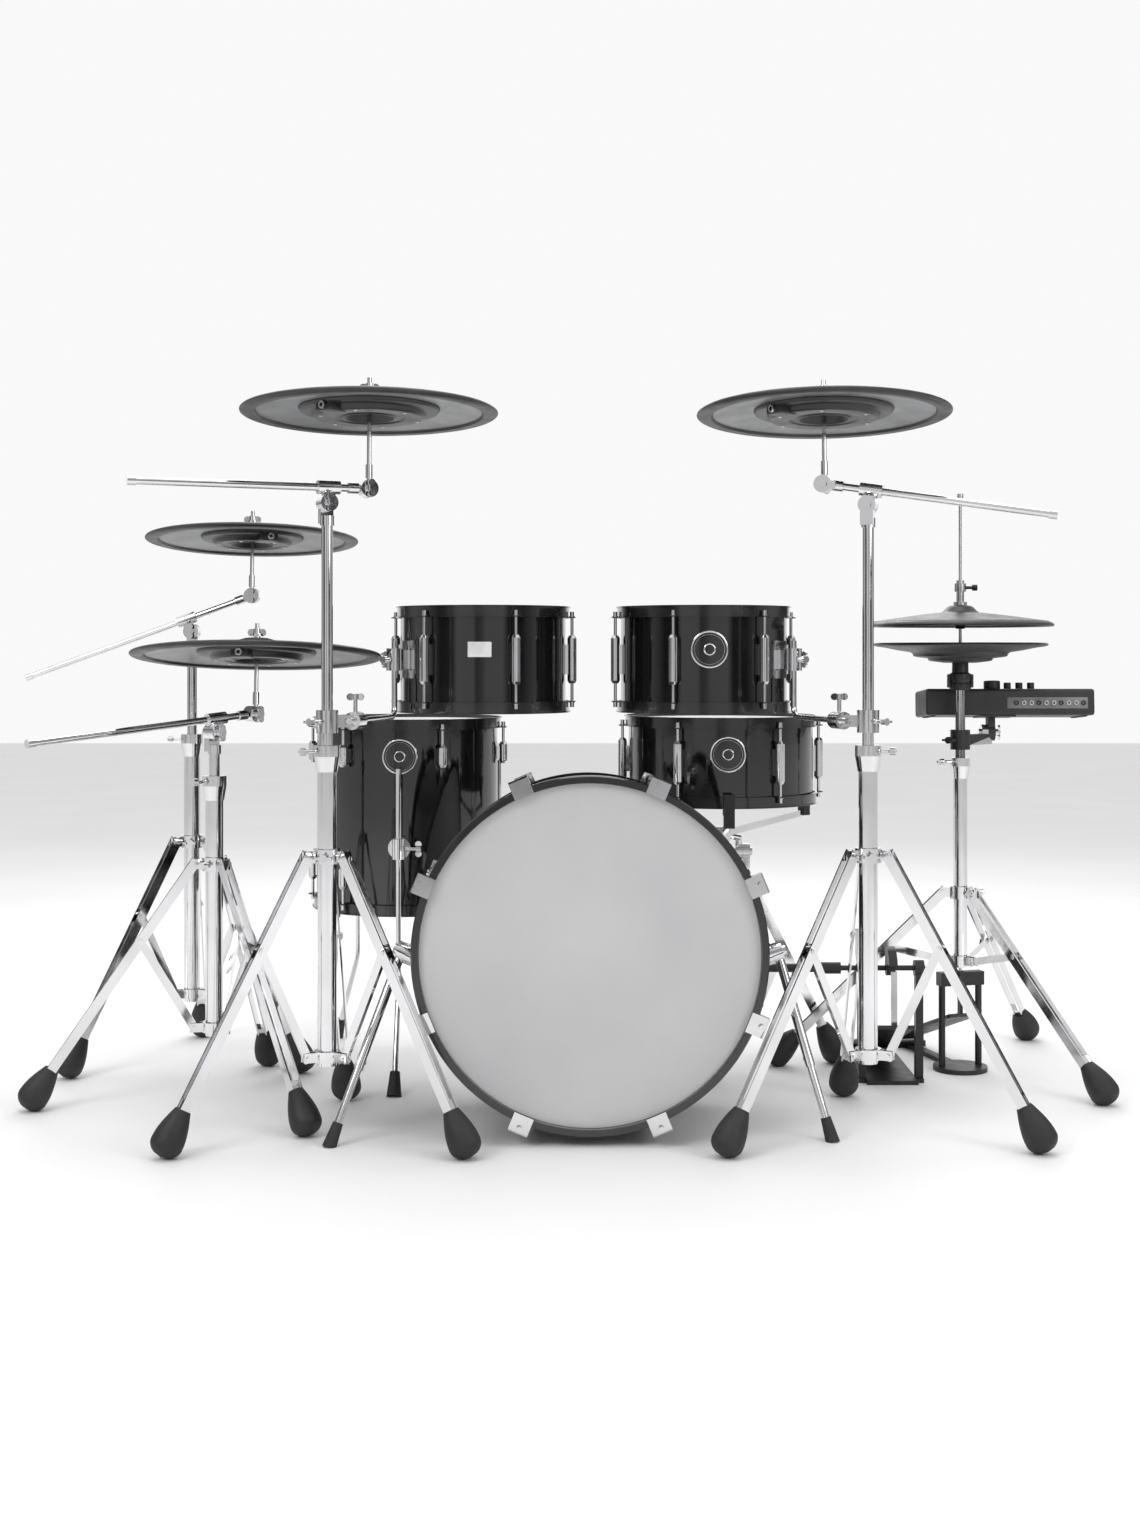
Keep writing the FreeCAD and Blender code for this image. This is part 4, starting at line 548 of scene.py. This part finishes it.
def module_details():
    """Jack row on the back panel, feet rails, display and buttons on the top."""
    hinge = Vector(joints["module_tilt"]["pos_m"])
    lean = Matrix.Translation(hinge) @ Matrix.Rotation(math.radians(MODULE_LEAN), 4, "X")
    facing_back = Matrix.Rotation(math.radians(90), 4, "X")
    low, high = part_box("module_case")
    left = (low[0] - hinge.x) / MM
    right = (high[0] - hinge.x) / MM

    def fit(name, mesh, material, x, y, z, turn=Matrix.Identity(4)):
        place = lean @ Matrix.Translation(Vector((x, y, z)) * MM) @ turn
        add("module_" + name, mesh, material, "module", place)

    fit("panel", slab((right - left - 172, 1.6, 22), 0.5), KEY,
        (left + right) / 2 + 72, MODULE_BACK, JACK_HEIGHT)
    for index in range(JACKS):
        jack = lathe(rounded([(2.6, 0), (4.6, 0), (4.6, 2.6), (2.6, 2.6)], 0.5), 28)
        fit("jack_%d" % index, jack, STEEL if index % 3 else BLACK_PART,
            left + JACKS_START + index * JACK_PITCH, MODULE_BACK - 0.6, JACK_HEIGHT, facing_back)
    screen_x = left + SCREEN_SPOT[0]
    screen_y = SCREEN_SPOT[1]
    fit("glass", slab((84, 34, 1.6), 0.6), SCREEN, screen_x, screen_y, MODULE_TOP + 0.1)
    fit("bezel", slab((92, 42, 1.0), 0.4), KEY, screen_x, screen_y, MODULE_TOP)
    for row in range(KEY_ROWS):
        for column in range(KEY_COLUMNS):
            fit("key_%d_%d" % (row, column), slab((15, 9, 2.6), 1.0, 2), KEY,
                left + 150 + column * 24, 28 + row * 19, MODULE_TOP + 0.6)
    for index in range(SOFT_KEYS):
        fit("soft_key_%d" % index, slab((12, 7, 2.4), 0.9, 2), BLACK_PART,
            left + 24 + index * 21, 74, MODULE_TOP + 0.6)
    for x in (left + 16, right - 16):
        fit("rail_%d" % round(x), slab((10, 90, 2.4), 1.0, 2), FEET, x, 22, MODULE_TOP - 53)


module_details()

# ------------------------------------------------------------------ camera, light, stage
hoop_low, hoop_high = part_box("bass_hoops")
bass_x = (hoop_low[0] + hoop_high[0]) / 2
CAMERA_DISTANCE = 3.1375     # from the front of the bass drum, in metres
CAMERA_SIDE = -0.033
CAMERA_HEIGHT = 0.805
eye = Vector((bass_x + CAMERA_SIDE, hoop_low[1] - CAMERA_DISTANCE, CAMERA_HEIGHT))
lens = bpy.data.cameras.new("lens")
lens.lens = 45.5
lens.sensor_width = 36.0
lens.shift_y = -0.069
camera = bpy.data.objects.new("camera", lens)
bpy.context.scene.collection.objects.link(camera)
camera.location = eye
camera.rotation_euler = (math.radians(90), 0, 0)
bpy.context.scene.camera = camera


def studio():
    """Plain pale surroundings for the eye, and light and dark bands for the chrome to mirror."""
    world = bpy.data.worlds.new("studio")
    world.use_nodes = True
    tree = world.node_tree
    tree.nodes.clear()
    place = tree.nodes.new("ShaderNodeTexCoord")
    axes = tree.nodes.new("ShaderNodeSeparateXYZ")
    tree.links.new(place.outputs["Generated"], axes.inputs["Vector"])
    span = tree.nodes.new("ShaderNodeMapRange")
    set_range(span, -1.0, 1.0, 0.0, 1.0)
    tree.links.new(axes.outputs["X"], span.inputs["Value"])
    sides = tree.nodes.new("ShaderNodeValToRGB")
    stops = ((0.0, 0.50), (0.07, 0.04), (0.17, 0.10), (0.22, 1.0), (0.40, 1.0), (0.44, 0.30),
             (0.50, 0.55), (0.56, 1.0), (0.74, 1.0), (0.80, 0.06), (0.92, 0.03), (1.0, 0.50))
    ramp = sides.color_ramp
    while len(ramp.elements) < len(stops):
        ramp.elements.new(0.5)
    for element, (position, value) in zip(ramp.elements, stops):
        element.position = position
        element.color = (value, value, value * 1.01, 1)
    tree.links.new(span.outputs["Result"], sides.inputs["Fac"])
    height = tree.nodes.new("ShaderNodeMapRange")
    set_range(height, 0.35, 0.75, 0.0, 1.0)
    tree.links.new(axes.outputs["Z"], height.inputs["Value"])
    sky = tree.nodes.new("ShaderNodeMix")
    sky.data_type = "RGBA"
    tree.links.new(height.outputs["Result"], sky.inputs["Factor"])
    for socket in sky.inputs:
        if socket.name == "A" and socket.type == "RGBA":
            tree.links.new(sides.outputs["Color"], socket)
        if socket.name == "B" and socket.type == "RGBA":
            socket.default_value = (1, 1, 1, 1)
    around = tree.nodes.new("ShaderNodeBackground")
    dim = tree.nodes.new("ShaderNodeMapRange")
    set_range(dim, -1.0, 0.3, 0.62, 1.1)
    tree.links.new(axes.outputs["Y"], dim.inputs["Value"])
    tree.links.new(dim.outputs["Result"], around.inputs["Strength"])
    for socket in sky.outputs:
        if socket.type == "RGBA":
            tree.links.new(socket, around.inputs["Color"])
    plain = tree.nodes.new("ShaderNodeBackground")
    plain.inputs["Color"].default_value = (0.95, 0.95, 0.95, 1)
    ray = tree.nodes.new("ShaderNodeLightPath")
    both = tree.nodes.new("ShaderNodeMixShader")
    tree.links.new(ray.outputs["Is Camera Ray"], both.inputs[0])
    tree.links.new(around.outputs["Background"], both.inputs[1])
    tree.links.new(plain.outputs["Background"], both.inputs[2])
    end = tree.nodes.new("ShaderNodeOutputWorld")
    tree.links.new(both.outputs["Shader"], end.inputs["Surface"])
    bpy.context.scene.world = world


studio()
bpy.context.scene.view_settings.view_transform = "Standard"


def soft_light(name, place, target, size, power):
    data = bpy.data.lights.new(name, "AREA")
    data.shape = "RECTANGLE"
    data.size, data.size_y = size
    data.energy = power
    lamp = bpy.data.objects.new(name, data)
    lamp.location = place
    lamp.rotation_euler = (Vector(target) - Vector(place)).to_track_quat("-Z", "Y").to_euler()
    bpy.context.scene.collection.objects.link(lamp)


soft_light("key", (-2.6, -3.2, 3.2), (0, 0, 0.6), (1.8, 1.8), 60)
soft_light("fill", (3.0, -2.6, 2.2), (0, 0, 0.6), (1.6, 2.2), 40)
soft_light("back", (0.2, 3.2, 2.8), (0, 0, 0.8), (3.0, 1.2), 40)
soft_light("overhead", (0, 0, 3.6), (0, 0, 0), (2.6, 2.2), 40)

floor_mesh = bpy.data.meshes.new("floor")
shape = bmesh.new()
bmesh.ops.create_grid(shape, x_segments=8, y_segments=8, size=14.0)
shape.to_mesh(floor_mesh)
shape.free()
floor = bpy.data.objects.new("floor", floor_mesh)
bpy.context.scene.collection.objects.link(floor)
ground = Paint("pale_floor", (0.86, 0.86, 0.86), 0.7)
ground.colour(ground.ramp(ground.noise(2.0, 3), (0.85, 0.85, 0.85), (0.87, 0.87, 0.87)))
floor_mesh.materials.append(ground.material)
